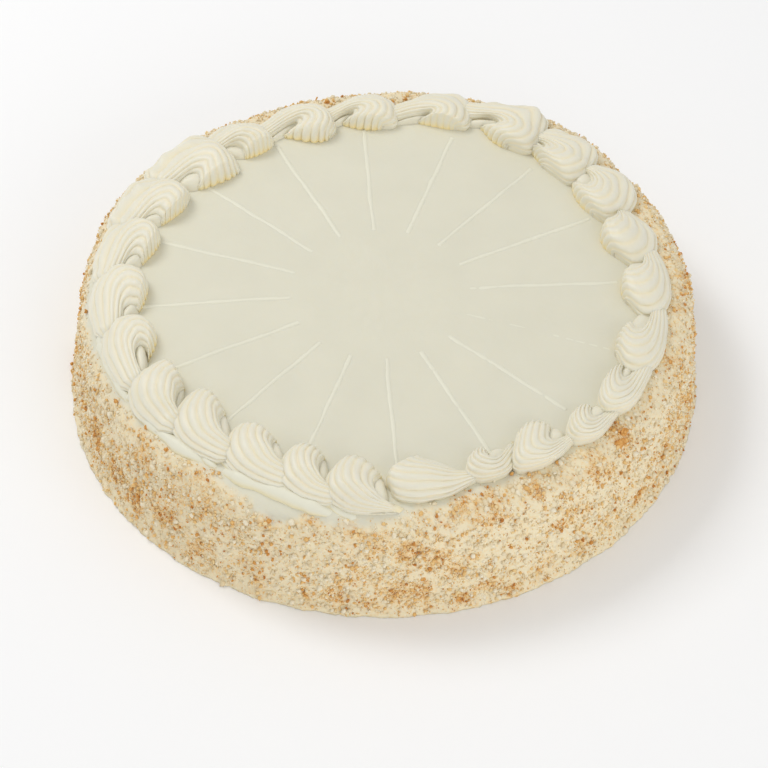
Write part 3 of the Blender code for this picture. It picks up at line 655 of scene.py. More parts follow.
# %% Three ridges for each shell
Shell = namedtuple("Shell", "start outer middle inner")
RING_RADIUS = 105.0
SHELLS = (
    Shell(271.9,
          ((-0.9, 107.6), (1.3, 113.2), (8.6, 115.6), (19.4, 114.8), (30.4, 110.5)),
          ((-1.1, 100.6), (3.4, 104.0), (10.0, 105.6), (19.0, 106.6), (30.2, 107.2)),
          ((12.3, 91.6), (15.9, 96.4), (20.3, 100.7), (24.9, 103.4), (30.4, 104.9))),
    Shell(288.2,
          ((3.2, 98.0), (-1.1, 106.4), (3.9, 111.2), (14.0, 111.6), (22.1, 106.0)),
          ((8.3, 96.2), (4.8, 103.2), (7.9, 107.4), (13.2, 107.0), (20.3, 102.2)),
          ((12.8, 97.6), (11.1, 101.8), (12.6, 103.8), (15.7, 102.6), (20.1, 100.2))),
    Shell(298.2,
          ((10.9, 94.8), (0.8, 105.0), (0.1, 112.3), (11.0, 115.2), (25.3, 113.0)),
          ((20.0, 94.8), (10.1, 103.4), (6.5, 110.0), (12.2, 113.2), (25.0, 111.0)),
          ((24.7, 100.7), (20.8, 104.2), (19.6, 106.8), (21.2, 108.2), (26.1, 108.2))),
    Shell(311.8,
          ((10.2, 101.5), (1.1, 107.6), (1.2, 113.6), (9.8, 117.6), (22.7, 116.6)),
          ((16.5, 103.0), (7.8, 107.5), (5.1, 112.6), (10.0, 115.4), (22.3, 114.6)),
          ((19.3, 106.0), (15.7, 108.1), (14.6, 110.0), (16.6, 111.1), (22.7, 111.5))),
    Shell(322.7,
          ((12.9, 102.0), (0.7, 107.0), (-0.4, 113.6), (8.9, 118.6), (26.6, 118.0)),
          ((20.8, 103.4), (9.2, 106.6), (4.0, 112.0), (9.8, 115.7), (26.2, 114.9)),
          ((25.6, 106.8), (21.2, 107.6), (19.2, 109.1), (20.8, 110.4), (26.6, 110.7))),
    Shell(335.5,
          ((8.1, 100.1), (-1.3, 108.4), (0.7, 115.4), (12.7, 119.4), (35.0, 117.2)),
          ((16.9, 99.1), (9.6, 105.6), (10.6, 110.4), (18.6, 112.9), (34.6, 113.0)),
          ((27.2, 102.9), (22.4, 106.0), (22.3, 108.5), (26.9, 110.0), (35.0, 110.7))),
    Shell(352.8,
          ((8.1, 99.7), (-1.8, 108.5), (1.5, 115.9), (14.0, 118.9), (33.7, 116.9)),
          ((16.5, 98.2), (13.5, 102.6), (15.2, 108.1), (21.5, 111.4), (33.7, 112.5)),
          ((26.0, 101.4), (24.9, 105.0), (25.9, 107.9), (29.0, 109.6), (34.1, 110.3))),
    Shell(368.3,
          ((8.9, 98.5), (-1.5, 106.0), (0.9, 113.9), (14.3, 118.2), (31.1, 113.7)),
          ((18.8, 96.0), (15.4, 100.8), (16.9, 105.2), (22.4, 108.4), (31.5, 110.1)),
          ((29.3, 103.3), (27.7, 105.1), (27.6, 106.7), (29.1, 108.2), (32.6, 108.9))),
    Shell(384.3,
          ((5.9, 99.4), (-2.9, 104.1), (0.1, 115.5), (13.3, 122.5), (30.0, 116.4)),
          ((17.5, 98.5), (8.6, 102.2), (9.5, 108.5), (17.4, 113.0), (30.7, 111.9)),
          ((26.5, 103.1), (21.4, 105.2), (21.4, 108.5), (25.3, 110.4), (31.8, 109.5))),
    Shell(399.3,
          ((16.3, 101.5), (-0.4, 101.6), (-1.8, 112.8), (7.4, 121.4), (28.0, 117.2)),
          ((23.1, 104.5), (11.3, 103.5), (7.8, 108.8), (13.3, 113.3), (28.7, 113.4)),
          ((26.7, 107.4), (22.6, 107.2), (21.6, 108.8), (23.4, 110.6), (28.9, 110.7))),
    Shell(413.8,
          ((9.6, 102.0), (-1.9, 104.5), (-0.0, 117.7), (12.3, 124.3), (32.1, 118.3)),
          ((16.4, 102.5), (8.7, 105.7), (7.9, 111.0), (15.4, 115.5), (32.6, 114.5)),
          ((24.5, 108.1), (19.0, 110.3), (19.4, 112.6), (24.8, 113.0), (32.7, 108.8))),
    Shell(430.6,
          ((3.6, 103.8), (-1.9, 105.9), (0.9, 117.5), (14.5, 120.4), (32.6, 111.9)),
          ((10.7, 102.8), (9.0, 104.8), (10.9, 108.8), (18.4, 110.7), (32.7, 106.4)),
          ((20.4, 104.0), (16.2, 105.0), (16.8, 106.8), (23.4, 105.1), (32.7, 101.8))),
    Shell(447.2,
          ((5.5, 99.1), (-0.9, 101.4), (0.9, 113.9), (13.3, 118.8), (30.4, 112.4)),
          ((13.6, 98.8), (8.5, 103.2), (10.1, 107.9), (17.2, 109.9), (30.1, 106.8)),
          ((23.0, 103.5), (19.5, 104.6), (18.9, 107.2), (22.7, 106.9), (30.0, 103.0))),
    Shell(462.4,
          ((2.0, 96.3), (-1.2, 101.5), (2.3, 114.4), (15.4, 118.3), (30.7, 113.1)),
          ((11.1, 95.6), (5.6, 102.5), (8.3, 108.0), (16.1, 110.4), (30.0, 107.4)),
          ((22.2, 103.3), (16.6, 104.6), (16.5, 107.0), (21.5, 106.4), (29.8, 104.0))),
    Shell(477.6,
          ((0.8, 100.8), (-0.1, 103.4), (2.0, 114.2), (11.0, 118.9), (24.1, 117.5)),
          ((8.0, 98.8), (7.6, 102.6), (10.7, 108.0), (15.8, 111.1), (23.4, 111.9)),
          ((16.1, 100.2), (15.7, 103.4), (16.7, 106.5), (18.8, 108.4), (23.1, 108.8))),
    Shell(487.7,
          ((5.1, 94.6), (2.0, 103.1), (2.9, 117.0), (14.6, 123.0), (32.4, 120.7)),
          ((16.0, 95.0), (12.2, 100.8), (11.0, 106.4), (17.2, 111.5), (31.9, 113.1)),
          ((26.3, 100.0), (24.2, 101.4), (22.6, 104.6), (24.2, 107.3), (31.5, 108.4))),
    Shell(503.9,
          ((7.3, 98.0), (2.0, 101.4), (1.8, 114.9), (11.8, 122.0), (30.1, 121.9)),
          ((15.6, 98.4), (11.1, 99.8), (9.5, 105.4), (15.7, 110.7), (29.9, 113.2)),
          ((24.1, 101.9), (23.3, 103.2), (23.0, 105.9), (24.9, 107.7), (29.5, 108.8))),
    Shell(518.6,
          ((7.0, 97.9), (1.4, 102.3), (1.3, 115.7), (12.3, 121.5), (30.1, 121.1)),
          ((14.5, 99.0), (8.9, 101.2), (7.1, 105.6), (13.6, 110.8), (30.3, 113.5)),
          ((22.1, 102.1), (21.4, 103.6), (21.1, 106.4), (23.4, 108.3), (29.9, 109.2))),
    Shell(533.7,
          ((6.9, 97.6), (0.2, 103.0), (-0.3, 115.3), (12.7, 121.5), (30.3, 120.2)),
          ((14.9, 98.0), (9.4, 101.1), (8.1, 105.9), (14.5, 111.1), (30.8, 113.1)),
          ((22.9, 101.4), (22.6, 103.0), (22.7, 105.7), (24.6, 107.7), (30.3, 108.4))),
    Shell(548.8,
          ((6.3, 96.6), (0.0, 102.0), (0.3, 114.4), (12.0, 119.6), (31.5, 119.3)),
          ((15.8, 97.1), (9.8, 101.3), (10.0, 106.0), (16.0, 110.3), (31.9, 111.9)),
          ((24.5, 103.5), (20.3, 102.8), (18.1, 105.1), (21.9, 107.8), (31.5, 108.8))),
    Shell(565.3,
          ((-2.7, 96.8), (-1.7, 104.2), (1.9, 114.2), (12.7, 119.6), (27.4, 118.8)),
          ((6.1, 95.2), (8.9, 100.8), (14.0, 106.2), (20.3, 109.8), (27.7, 110.5)),
          ((16.5, 96.9), (18.6, 101.2), (21.6, 104.4), (23.9, 106.0), (27.4, 106.8))),
    Shell(579.0,
          ((-4.0, 94.0), (-2.8, 101.7), (2.1, 111.6), (12.9, 116.4), (28.5, 115.0)),
          ((4.4, 90.5), (6.3, 97.1), (12.0, 103.6), (19.5, 107.6), (28.7, 107.6)),
          ((15.0, 93.4), (17.2, 98.0), (20.7, 101.0), (24.1, 102.6), (28.5, 103.0))),
    Shell(593.3,
          ((-2.0, 94.7), (-1.2, 103.0), (3.4, 111.4), (14.2, 116.0), (28.4, 116.0)),
          ((7.0, 91.5), (8.3, 98.0), (13.7, 104.2), (20.4, 108.2), (28.6, 108.8)),
          ((17.5, 93.0), (18.2, 97.7), (21.3, 100.9), (24.8, 102.7), (28.4, 103.5))),
    Shell(607.6,
          ((-0.2, 93.0), (-1.8, 103.1), (1.7, 112.8), (10.2, 117.4), (20.7, 118.2)),
          ((7.7, 91.5), (6.5, 100.4), (9.8, 107.4), (14.8, 111.3), (20.8, 112.1)),
          ((15.0, 94.6), (14.6, 101.0), (16.2, 105.4), (18.5, 107.7), (20.7, 108.8))),
    Shell(617.5,
          ((3.0, 97.1), (0.1, 106.6), (1.6, 114.2), (9.0, 118.8), (20.0, 119.4)),
          ((12.2, 93.1), (8.5, 103.6), (10.2, 111.2), (15.4, 115.6), (22.2, 117.0)),
          ((22.2, 101.6), (19.6, 106.6), (20.2, 110.8), (22.2, 113.6), (24.6, 115.2))),
)


def smooth_line(points, share):
    """A point on the smooth line through some points, at a share of its length."""
    last = len(points) - 1
    left = min(int(share * last), last - 1)
    step = share * last - left
    ends = [points[min(max(left + shift, 0), last)] for shift in (-1, 0, 1, 2)]
    before, here, there, after = (Vector(end) for end in ends)
    if left == 0:
        before = 2 * here - there
    if left == last - 1:
        after = 2 * there - here
    bend = 2 * before - 5 * here + 4 * there - after
    return 0.5 * (2 * here + (there - before) * step + bend * step ** 2
                  + (3 * here - before - 3 * there + after) * step ** 3)


def plan_place(shell, along, across):
    """Flat place in millimetres, from fingers (0) to tail (1), and from outside (0) to inside (1)."""
    outer, middle, inner = (smooth_line(line, along) for line in (shell.outer, shell.middle, shell.inner))
    return (outer * (1 - across) * (1 - 2 * across) + middle * 4 * across * (1 - across)
            + inner * across * (2 * across - 1))


print("shells:", len(SHELLS), "middle of the first:", tuple(plan_place(SHELLS[0], 0.5, 0.5)))

# %% [markdown]
# Across the shell the icing is a dome with rounded ridges and sharp creases between them, which is what
# the teeth of the nozzle cut. It bulges a little over its own foot, so a shadow gathers there. The function
# gives one point of that section: how far across it lies, its share of the height, and how deep in a crease
# it is. The ridges nearest to the eye of the curl are broad and nearly smooth.

# %% One point of the section
RIDGES = 10
UNDERCUT = 30.0
OUTER_UNDERCUT = 8.0
SOLE_SHARE = 0.16
OUTER_SLOPE = 1.4


def section_point(around, ridge_share, phase):
    """Place across (0 outside, 1 inside), height share (below 0 under the bulge), and crease (0 to 1)."""
    if around > 1.0 - SOLE_SHARE:
        back = (around - 1.0 + SOLE_SHARE) / SOLE_SHARE
        return mix(0.93, 0.07, back), -1.0, 0.0
    over = around / (1.0 - SOLE_SHARE)
    turn = math.radians(mix(-OUTER_UNDERCUT, 180.0 + UNDERCUT, over))
    crease = 1.0 - abs(math.sin(math.pi * (RIDGES * over + phase))) ** 0.7
    crease *= 1.0 - 0.55 * ease(0.62, 0.85, over)
    shrink = 1.0 - ridge_share * crease
    across = 0.5 - 0.5 * math.cos(turn) * shrink
    up = math.sin(turn)
    if up > 0.0:
        return across, shrink * (up if across > 0.5 else up ** OUTER_SLOPE), crease
    return across, up / math.sin(math.radians(OUTER_UNDERCUT if across < 0.5 else UNDERCUT)), crease


print("top of the section:", section_point(0.42, 0.1, 0.5))

# %% [markdown]
# Along the shell the fingers rise in a quarter circle from an undercut foot. The body stands highest in
# its first third and falls towards the tail, which sinks under the next shell. A row of the shell states
# its place along the plan, its share of the full height, and whether it belongs to the foot of the fingers.

# %% Rows along the shell
Row = namedtuple("Row", "along height foot fingers tail")
NOSE_TURNS = (-90, -62, -35, -10, 12, 30, 48, 66, 84)
NOSE_SHARE = 0.13
TUCK_SHARE = 0.035
BODY_ROWS = 54
TAIL_ROWS = 9
TAIL_LENGTH = 8.5


def body_height(along):
    """Share of the full height at a place along the shell."""
    return mix(0.86, 1.0, ease(0.05, 0.35, along)) * mix(1.0, 0.66, ease(0.45, 1.0, along))


def shell_rows():
    rows = []
    for turn in NOSE_TURNS:
        cos, sin = math.cos(math.radians(turn)), math.sin(math.radians(turn))
        if turn < 0:
            rows.append(Row(TUCK_SHARE * (1 - cos), 0.0, -sin, 1.0, 0.0))
        else:
            rows.append(Row(NOSE_SHARE * (1 - cos), sin * body_height(0.0), 0.0, cos, 0.0))
    for row in range(BODY_ROWS + 1):
        along = mix(NOSE_SHARE, 1.0, row / BODY_ROWS)
        rows.append(Row(along, body_height(along), 0.0, 0.0, 0.0))
    for row in range(1, TAIL_ROWS + 1):
        tail = row / TAIL_ROWS
        rows.append(Row(1.0, body_height(1.0) * (1.0 - tail ** 1.5), 0.0, 0.0, tail))
    return rows


SHELL_ROWS = shell_rows()
print("rows of a shell:", len(SHELL_ROWS))

# %% [markdown]
# A grid already has the rows and columns, so the shell starts as one and its vertices are moved into
# place. Then the seam is welded, the ends are filled, and noise makes the surface swell as icing does when
# the bag is squeezed by hand. The eye of the curl isn't a hole on real icing: the last of the squeeze
# gathers in it, so a soft drop fills it, higher where the shell is tightly curled.

# %% Pipe one shell
SHELL_COLUMNS = 96
FULL_HEIGHT = 9.8 * MM
FULL_WIDTH = 15.0
EQUATOR = 1.9 * MM
SOLE = 1.0 * MM
RIDGE_RISE = 0.95
FINGER_SHARE = 0.05
CURLED_EYE = 4.4 * MM
OPEN_EYE = 3.3 * MM
CURLED = (4, 5, 9, 10, 16, 17, 18, 19, 20)


def on_ring(shell, flat):
    """Bends a flat place in millimetres round the ring."""
    angle = math.radians(shell.start) + flat.x / RING_RADIUS
    radius = flat.y * MM
    return Vector((radius * math.cos(angle), radius * math.sin(angle), 0.0)), angle, radius


def fill_eye(bm, shell, curled):
    """A soft drop of icing in the eye of a shell, between the ends of its inner ridge."""
    depth = bm.verts.layers.float["depth"]
    tip, _, turn, _, tail = (Vector(point) for point in shell.inner)
    opening = (tip + tail) / 2
    centre = opening * 0.3 + turn * 0.7
    long_way = (opening - turn) * 0.95
    wide_way = (tail - tip) * (0.7 if curled else 0.62)
    high = CURLED_EYE if curled else OPEN_EYE
    drop = bmesh.ops.create_uvsphere(bm, u_segments=28, v_segments=18, radius=1.0)["verts"]
    for vert in drop:
        place, _, radius = on_ring(shell, centre + long_way * vert.co.x + wide_way * vert.co.y)
        place.z = top_z(radius) + high * vert.co.z
        # Painted shade: a faint touch of the warm crease colour on the drop.
        vert[depth] = 0.05
        vert.co = place


def pipe_shell(name, shell, seed, curled):
    bm = bmesh.new()
    depth = bm.verts.layers.float.new("depth")
    verts = bmesh.ops.create_grid(bm, x_segments=len(SHELL_ROWS) - 1, y_segments=SHELL_COLUMNS,
                                  size=0.5)["verts"]
    widths = [(plan_place(shell, row.along, 0.0) - plan_place(shell, row.along, 1.0)).length
              for row in SHELL_ROWS]
    drift = plan_place(shell, 1.0, 0.4) - plan_place(shell, 0.9, 0.4)
    drift = drift.normalized() * TAIL_LENGTH
    for vert in verts:
        number = round((vert.co.x + 0.5) * (len(SHELL_ROWS) - 1))
        row = SHELL_ROWS[number]
        around = min(max(vert.co.y + 0.5, 0.0), 1.0) % 1.0
        phase = 0.18 * uneven(Vector((number / 16.0, 2.5 * around, seed)), 1.0)
        ridge_share = min(0.16, 2.0 * RIDGE_RISE / widths[number])
        across, up, crease = section_point(around, ridge_share, phase)
        along = min(1.0, row.along + FINGER_SHARE * crease * row.fingers)
        flat = plan_place(shell, along, mix(across, 0.5, 0.7 * row.tail)) + drift * row.tail
        place, angle, radius = on_ring(shell, flat)
        tall = FULL_HEIGHT * row.height * min(1.0, widths[number] / FULL_WIDTH) ** 0.45
        equator = EQUATOR * min(1.0, 4.0 * (1.0 - row.tail))
        if up > 0.0 and not row.foot:
            height = equator + up * max(tall - equator, 0.0)
        else:
            height = mix(equator, -SOLE, max(row.foot, -min(up, 0.0)))
        place.z = top_z(radius - lean(angle, TOP_HEIGHT)) + height - row.tail ** 2 * 2.0 * MM
        vert.co = place + heap_push(place, angle)
        # Painted glow and shade: the creases, and the low inner foot where the shell meets the top, take the
        # warm crease colour.
        low = (1.0 - ease(0.0, 3.2 * MM, height)) * ease(0.0, 0.3, across)
        vert[depth] = min(1.0, 0.4 * crease + 0.9 * low)
    bmesh.ops.remove_doubles(bm, verts=bm.verts, dist=0.004 * MM)
    bmesh.ops.holes_fill(bm, edges=[edge for edge in bm.edges if edge.is_boundary], sides=0)
    fill_eye(bm, shell, curled)
    bmesh.ops.recalc_face_normals(bm, faces=bm.faces)
    for vert in bm.verts:
        swell = 0.34 * MM * uneven(vert.co, 8.0 * MM, seed)
        swell += 0.13 * MM * uneven(vert.co, 2.2 * MM, seed + 7)
        vert.co += vert.normal * swell
    return add_piece(name, bm, shell_icing)


for number, shell in enumerate(SHELLS, start=1):
    piped = pipe_shell(f"piped_shell_{number:02d}", shell, float(number), number in CURLED)
    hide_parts(f"shell_{number:02d}")
print("last shell:", len(piped.data.polygons), "faces")

# %% [markdown]
# ## Folds of icing beside the border
#
# From the left round to the front the shells were piped onto wet icing, and the palette knife had dragged
# it into folds and open loops along the shoulder. A fold is a rounded ridge through three or more places.
# Each place is an angle and how far down the shoulder it lies, in millimetres along the surface from a
# circle under the shells. The fold is a grid again, moved onto the shoulder, which sinks into the icing at
# both feet, where a yellow shade is painted into its colour.

# %% Lay the folds
Fold = namedtuple("Fold", "width height places")
FOLDS_FROM = 104.0 * MM
FOLD_RADIUS = 118.0
FOLD_STEP = 0.5
FOLD_SINK = 0.5
FOLDS = (
    Fold(5.0, 2.2, ((-174, 14.0), (-169, 15.9), (-166, 16.6), (-161, 16.4), (-156, 15.9), (-149, 16.2))),
    Fold(3.6, 1.9, ((-157, 9.0), (-155.4, 11.5), (-154.6, 14.0), (-152.4, 16.2))),
    Fold(3.8, 1.9, ((-147.8, 8.5), (-149.0, 11.0), (-150.2, 14.0), (-152.2, 16.2))),
    Fold(6.0, 2.6, ((-149, 15.6), (-144, 14.6), (-139, 14.4), (-134, 13.9), (-127, 12.9))),
    Fold(3.4, 1.8, ((-136.0, 7.5), (-134.6, 10.5), (-133.0, 13.2), (-130, 13.8))),
    Fold(3.4, 1.8, ((-131.5, 7.0), (-129.6, 10.0), (-127.6, 12.4), (-124.5, 12.8))),
    Fold(3.8, 1.8, ((-127, 6.5), (-123.6, 9.5), (-120.2, 11.3), (-116, 11.4))),
    Fold(7.6, 3.0, ((-124, 12.6), (-118, 11.9), (-112, 12.0), (-106, 13.4), (-99.0, 16.6))),
    Fold(5.0, 1.9, ((-192, 15.0), (-185, 16.4), (-178, 17.2), (-170, 17.2))),
    Fold(4.0, 1.3, ((-101, 11.0), (-99.4, 13.4), (-97.6, 15.5), (-94.5, 17.4))),
)


def shoulder_place(angle, arc):
    """The icing's place and outward direction at an angle in degrees and a distance down the shoulder."""
    on_top = min(FOLDS_FROM + arc, TOP_EDGE_RADIUS)
    turn = max(0.0, arc - (TOP_EDGE_RADIUS - FOLDS_FROM)) / SHOULDER
    z = top_z(on_top) - SHOULDER * (1.0 - math.cos(turn))
    around = math.radians(angle)
    radius = on_top + SHOULDER * math.sin(turn) + lean(around, z)
    out = Vector((math.sin(turn) * math.cos(around), math.sin(turn) * math.sin(around), math.cos(turn)))
    return Vector((radius * math.cos(around), radius * math.sin(around), z)), out


def lay_fold(bm, fold, seed):
    """One fold, as a grid that is moved onto the shoulder and rounded up in its middle."""
    depth = bm.verts.layers.float["depth"]
    length = sum(math.hypot(math.radians(there[0] - here[0]) * FOLD_RADIUS, there[1] - here[1])
                 for here, there in zip(fold.places, fold.places[1:]))
    steps = max(12, round(length / FOLD_STEP))
    made = bmesh.ops.create_grid(bm, x_segments=steps, y_segments=14, size=0.5)["verts"]
    for vert in made:
        share = vert.co.x + 0.5
        side = vert.co.y * 2.0
        middle = smooth_line(fold.places, share)
        before = smooth_line(fold.places, max(share - 0.02, 0.0))
        onward = smooth_line(fold.places, min(share + 0.02, 1.0)) - before
        heading = Vector((math.radians(onward.x) * FOLD_RADIUS, onward.y)).normalized()
        ends = min(ease(-0.02, 0.16, share), 1.0 - ease(0.84, 1.02, share))
        swell = 1.0 + 0.3 * uneven(Vector((share * length / 6.0, seed, 0.0)), 1.0)
        wide = side * fold.width * 0.5 * mix(0.4, 1.0, ends) * swell
        angle = middle.x + math.degrees(-heading.y * wide / FOLD_RADIUS)
        place, out = shoulder_place(angle, (middle.y + heading.x * wide) * MM)
        rise = fold.height * ends * swell * max(0.0, 1.0 - side * side) ** 0.6 - FOLD_SINK
        vert.co = place + out * (rise + HEAP_OUT * heap(place) / MM) * MM
        # Painted shade: the feet of the fold take the warm crease colour.
        vert[depth] = 0.75 * ease(0.45, 0.95, abs(side))


folds = bmesh.new()
folds.verts.layers.float.new("depth")
for number, fold in enumerate(FOLDS):
    lay_fold(folds, fold, 3.1 * number)
bmesh.ops.recalc_face_normals(folds, faces=folds.faces)
folds_piece = add_piece("icing_folds", folds, mark_icing)
print("folds:", len(FOLDS), "faces:", len(folds_piece.data.polygons))

# %% [markdown]
# ## The crumb coat
#
# The crumbs are what is left of sliced cake: most are ivory, some are golden, and the browned ones come
# from the crust. Thousands of separate objects would be slow to make one by one. Geometry Nodes strews
# copies of a few crumb shapes over the side, turns and sizes each at random, and makes them one real mesh.
# First come the shapes: an icosphere of twenty faces, dented at random, is as much as a crumb of a
# millimetre or two needs.

# %% Crumb shapes
CRUMB_SHAPES = 7


def crumb_shape(name, draw, material):
    bm = bmesh.new()
    bmesh.ops.create_icosphere(bm, subdivisions=1, radius=0.5)
    for vert in bm.verts:
        vert.co *= draw.uniform(0.65, 1.35)
    bmesh.ops.scale(bm, vec=(1.0, draw.uniform(0.65, 1.0), draw.uniform(0.55, 0.9)), verts=bm.verts)
    mesh = bpy.data.meshes.new(name)
    bm.to_mesh(mesh)
    bm.free()
    mesh.shade_smooth()
    mesh.materials.append(material)
    return bpy.data.objects.new(name, mesh)


def crumb_shapes(kind, material, seed):
    draw = random.Random(seed)
    shapes = bpy.data.collections.new(kind + "_shapes")
    for number in range(CRUMB_SHAPES):
        shapes.objects.link(crumb_shape(f"{kind}_{number}", draw, material))
    return shapes


print("shapes of each kind:", CRUMB_SHAPES)

# %% [markdown]
# A crumb is dry, open cake. It has hardly any gloss, and no two are the same colour. The strewing gives
# each crumb a number between 0 and 1 as its tone, and a ramp turns that number into a colour from the
# kind's own range. Fine noise makes its face uneven.

# %% Crumb material
def crumb_material(name, colours):
    """Dry cake whose colour is picked from a ramp by the crumb's own tone attribute."""
    material = bpy.data.materials.new(name)
    material.use_nodes = True
    nodes = material.node_tree.nodes
    links = material.node_tree.links
    shader = nodes["Principled BSDF"]
    shader.inputs["Roughness"].default_value = 0.85
    shader.inputs["Specular IOR Level"].default_value = 0.2
    shader.inputs["Subsurface Weight"].default_value = 0.0
    tone = nodes.new("ShaderNodeAttribute")
    tone.attribute_name = "tone"
    ramp = nodes.new("ShaderNodeValToRGB")
    ramp.color_ramp.elements[0].color = colours[0]
    ramp.color_ramp.elements[1].color = colours[-1]
    for number, colour in enumerate(colours[1:-1], start=1):
        ramp.color_ramp.elements.new(number / (len(colours) - 1)).color = colour
    links.new(tone.outputs["Fac"], ramp.inputs["Fac"])
    speckle = nodes.new("ShaderNodeTexNoise")
    speckle.inputs["Scale"].default_value = 1.0 / (0.6 * MM)
    speckle.inputs["Detail"].default_value = 3.0
    links.new(nodes.new("ShaderNodeTexCoord").outputs["Object"], speckle.inputs["Vector"])
    shade = nodes.new("ShaderNodeMix")
    shade.data_type = "RGBA"
    shade.blend_type = "MULTIPLY"
    shade.inputs[0].default_value = 0.12
    links.new(ramp.outputs["Color"], shade.inputs[6])
    links.new(speckle.outputs["Fac"], shade.inputs[7])
    links.new(shade.outputs[2], shader.inputs["Base Color"])
    return material


IVORIES = ((0.80, 0.65, 0.41, 1), (0.85, 0.73, 0.50, 1), (0.89, 0.79, 0.58, 1), (0.92, 0.84, 0.65, 1))
GOLDS = ((0.80, 0.48, 0.17, 1), (0.87, 0.61, 0.28, 1), (0.91, 0.74, 0.43, 1))
BROWNS = ((0.56, 0.22, 0.05, 1), (0.72, 0.36, 0.10, 1), (0.84, 0.52, 0.20, 1))
print("colours:", len(IVORIES) + len(GOLDS) + len(BROWNS))

# %% [markdown]
# The side of the body is copied and everything that carries no crumbs is deleted from the copy. Three
# attributes on it say how thickly each kind lies: ivory everywhere, golden and browned by the map of crust,
# with a few strays between the patches.

# %% Where each kind lies
LEAST_COAT = 0.05
BARE_FOOT = 0.6 * MM
coat_key = coat.verts.layers.float["coat"]
crust_key = coat.verts.layers.float["crust"]
maps = {kind: coat.verts.layers.float.new(kind) for kind in ("ivory", "golden", "browned")}
bare = [face for face in coat.faces
        if max(vert[coat_key] for vert in face.verts) < LEAST_COAT
        or face.calc_center_median().z < BARE_FOOT]
bmesh.ops.delete(coat, geom=bare, context="FACES")
for vert in coat.verts:
    heaped = 0.45 + 0.55 * coat_clumps(vert.co)
    vert[maps["ivory"]] = vert[coat_key] * heaped * (1.0 - 0.6 * vert[crust_key])
    vert[maps["golden"]] = vert[coat_key] * (0.14 + 0.86 * vert[crust_key])
    vert[maps["browned"]] = vert[coat_key] * (0.05 + 0.95 * vert[crust_key] ** 2)
spread = {kind: sum(face.calc_area() * sum(vert[layer] for vert in face.verts) / len(face.verts)
                    for face in coat.faces) for kind, layer in maps.items()}
coat_mesh = bpy.data.meshes.new("coat")
coat.to_mesh(coat_mesh)
coat.free()
print("side under each kind:", {kind: round(area * 1e4) for kind, area in spread.items()}, "cm2")

# %% [markdown]
# The node tree reads: scatter points where the kind's map says, push each point out from the side by a
# random amount, put a crumb on it with a random turn and size, remember its tone, and make it all real.
# The third power of a random number gives many small crumbs and few large ones. The seeds alone don't fix
# where the crumbs fall: points are drawn face by face, and spin hands over its faces in another order each
# time the file runs, so the crumbs fall a little differently each time.

# %% Strewing with Geometry Nodes
def random_value(tree, low, high, seed, kind="FLOAT"):
    node = tree.nodes.new("FunctionNodeRandomValue")
    node.data_type = kind
    offset = 0 if kind == "FLOAT_VECTOR" else 2
    node.inputs[offset].default_value = low
    node.inputs[offset + 1].default_value = high
    node.inputs["Seed"].default_value = seed
    return node.outputs[0 if kind == "FLOAT_VECTOR" else 1]


def strewing_tree(kind, shapes, count, small, large, proud, seed):
    tree = bpy.data.node_groups.new("strew_" + kind, "GeometryNodeTree")
    tree.interface.new_socket("Geometry", in_out="INPUT", socket_type="NodeSocketGeometry")
    tree.interface.new_socket("Geometry", in_out="OUTPUT", socket_type="NodeSocketGeometry")
    made = {name: tree.nodes.new(name) for name in (
        "NodeGroupInput", "NodeGroupOutput", "GeometryNodeDistributePointsOnFaces",
        "GeometryNodeInputNamedAttribute", "GeometryNodeSetPosition", "ShaderNodeVectorMath",
        "GeometryNodeCollectionInfo", "GeometryNodeInstanceOnPoints", "GeometryNodeStoreNamedAttribute",
        "GeometryNodeRealizeInstances")}
    points = made["GeometryNodeDistributePointsOnFaces"]
    density = made["GeometryNodeInputNamedAttribute"]
    density.data_type = "FLOAT"
    density.inputs["Name"].default_value = kind
    per_area = maths(tree, "MULTIPLY", density.outputs["Attribute"], count / spread[kind])
    tree.links.new(per_area, points.inputs["Density"])
    points.inputs["Seed"].default_value = seed
    tree.links.new(made["NodeGroupInput"].outputs[0], points.inputs["Mesh"])
    push = made["ShaderNodeVectorMath"]
    push.operation = "SCALE"
    tree.links.new(points.outputs["Normal"], push.inputs[0])
    tree.links.new(random_value(tree, proud[0], proud[1], seed + 1), push.inputs["Scale"])
    move = made["GeometryNodeSetPosition"]
    tree.links.new(points.outputs["Points"], move.inputs["Geometry"])
    tree.links.new(push.outputs["Vector"], move.inputs["Offset"])
    source = made["GeometryNodeCollectionInfo"]
    source.inputs["Collection"].default_value = shapes
    source.inputs["Separate Children"].default_value = True
    source.inputs["Reset Children"].default_value = True
    put = made["GeometryNodeInstanceOnPoints"]
    put.inputs["Pick Instance"].default_value = True
    size = maths(tree, "POWER", random_value(tree, 0.0, 1.0, seed + 2), 3.0)
    size = maths(tree, "ADD", maths(tree, "MULTIPLY", size, large - small), small)
    tree.links.new(move.outputs["Geometry"], put.inputs["Points"])
    tree.links.new(source.outputs[0], put.inputs["Instance"])
    turns = random_value(tree, (0, 0, 0), (math.tau,) * 3, seed + 3, "FLOAT_VECTOR")
    tree.links.new(turns, put.inputs["Rotation"])
    tree.links.new(size, put.inputs["Scale"])
    tone = made["GeometryNodeStoreNamedAttribute"]
    tone.data_type = "FLOAT"
    tone.domain = "INSTANCE"
    tone.inputs["Name"].default_value = "tone"
    tree.links.new(random_value(tree, 0.0, 1.0, seed + 4), tone.inputs["Value"])
    tree.links.new(put.outputs["Instances"], tone.inputs["Geometry"])
    tree.links.new(tone.outputs["Geometry"], made["GeometryNodeRealizeInstances"].inputs["Geometry"])
    tree.links.new(made["GeometryNodeRealizeInstances"].outputs[0], made["NodeGroupOutput"].inputs[0])
    return tree


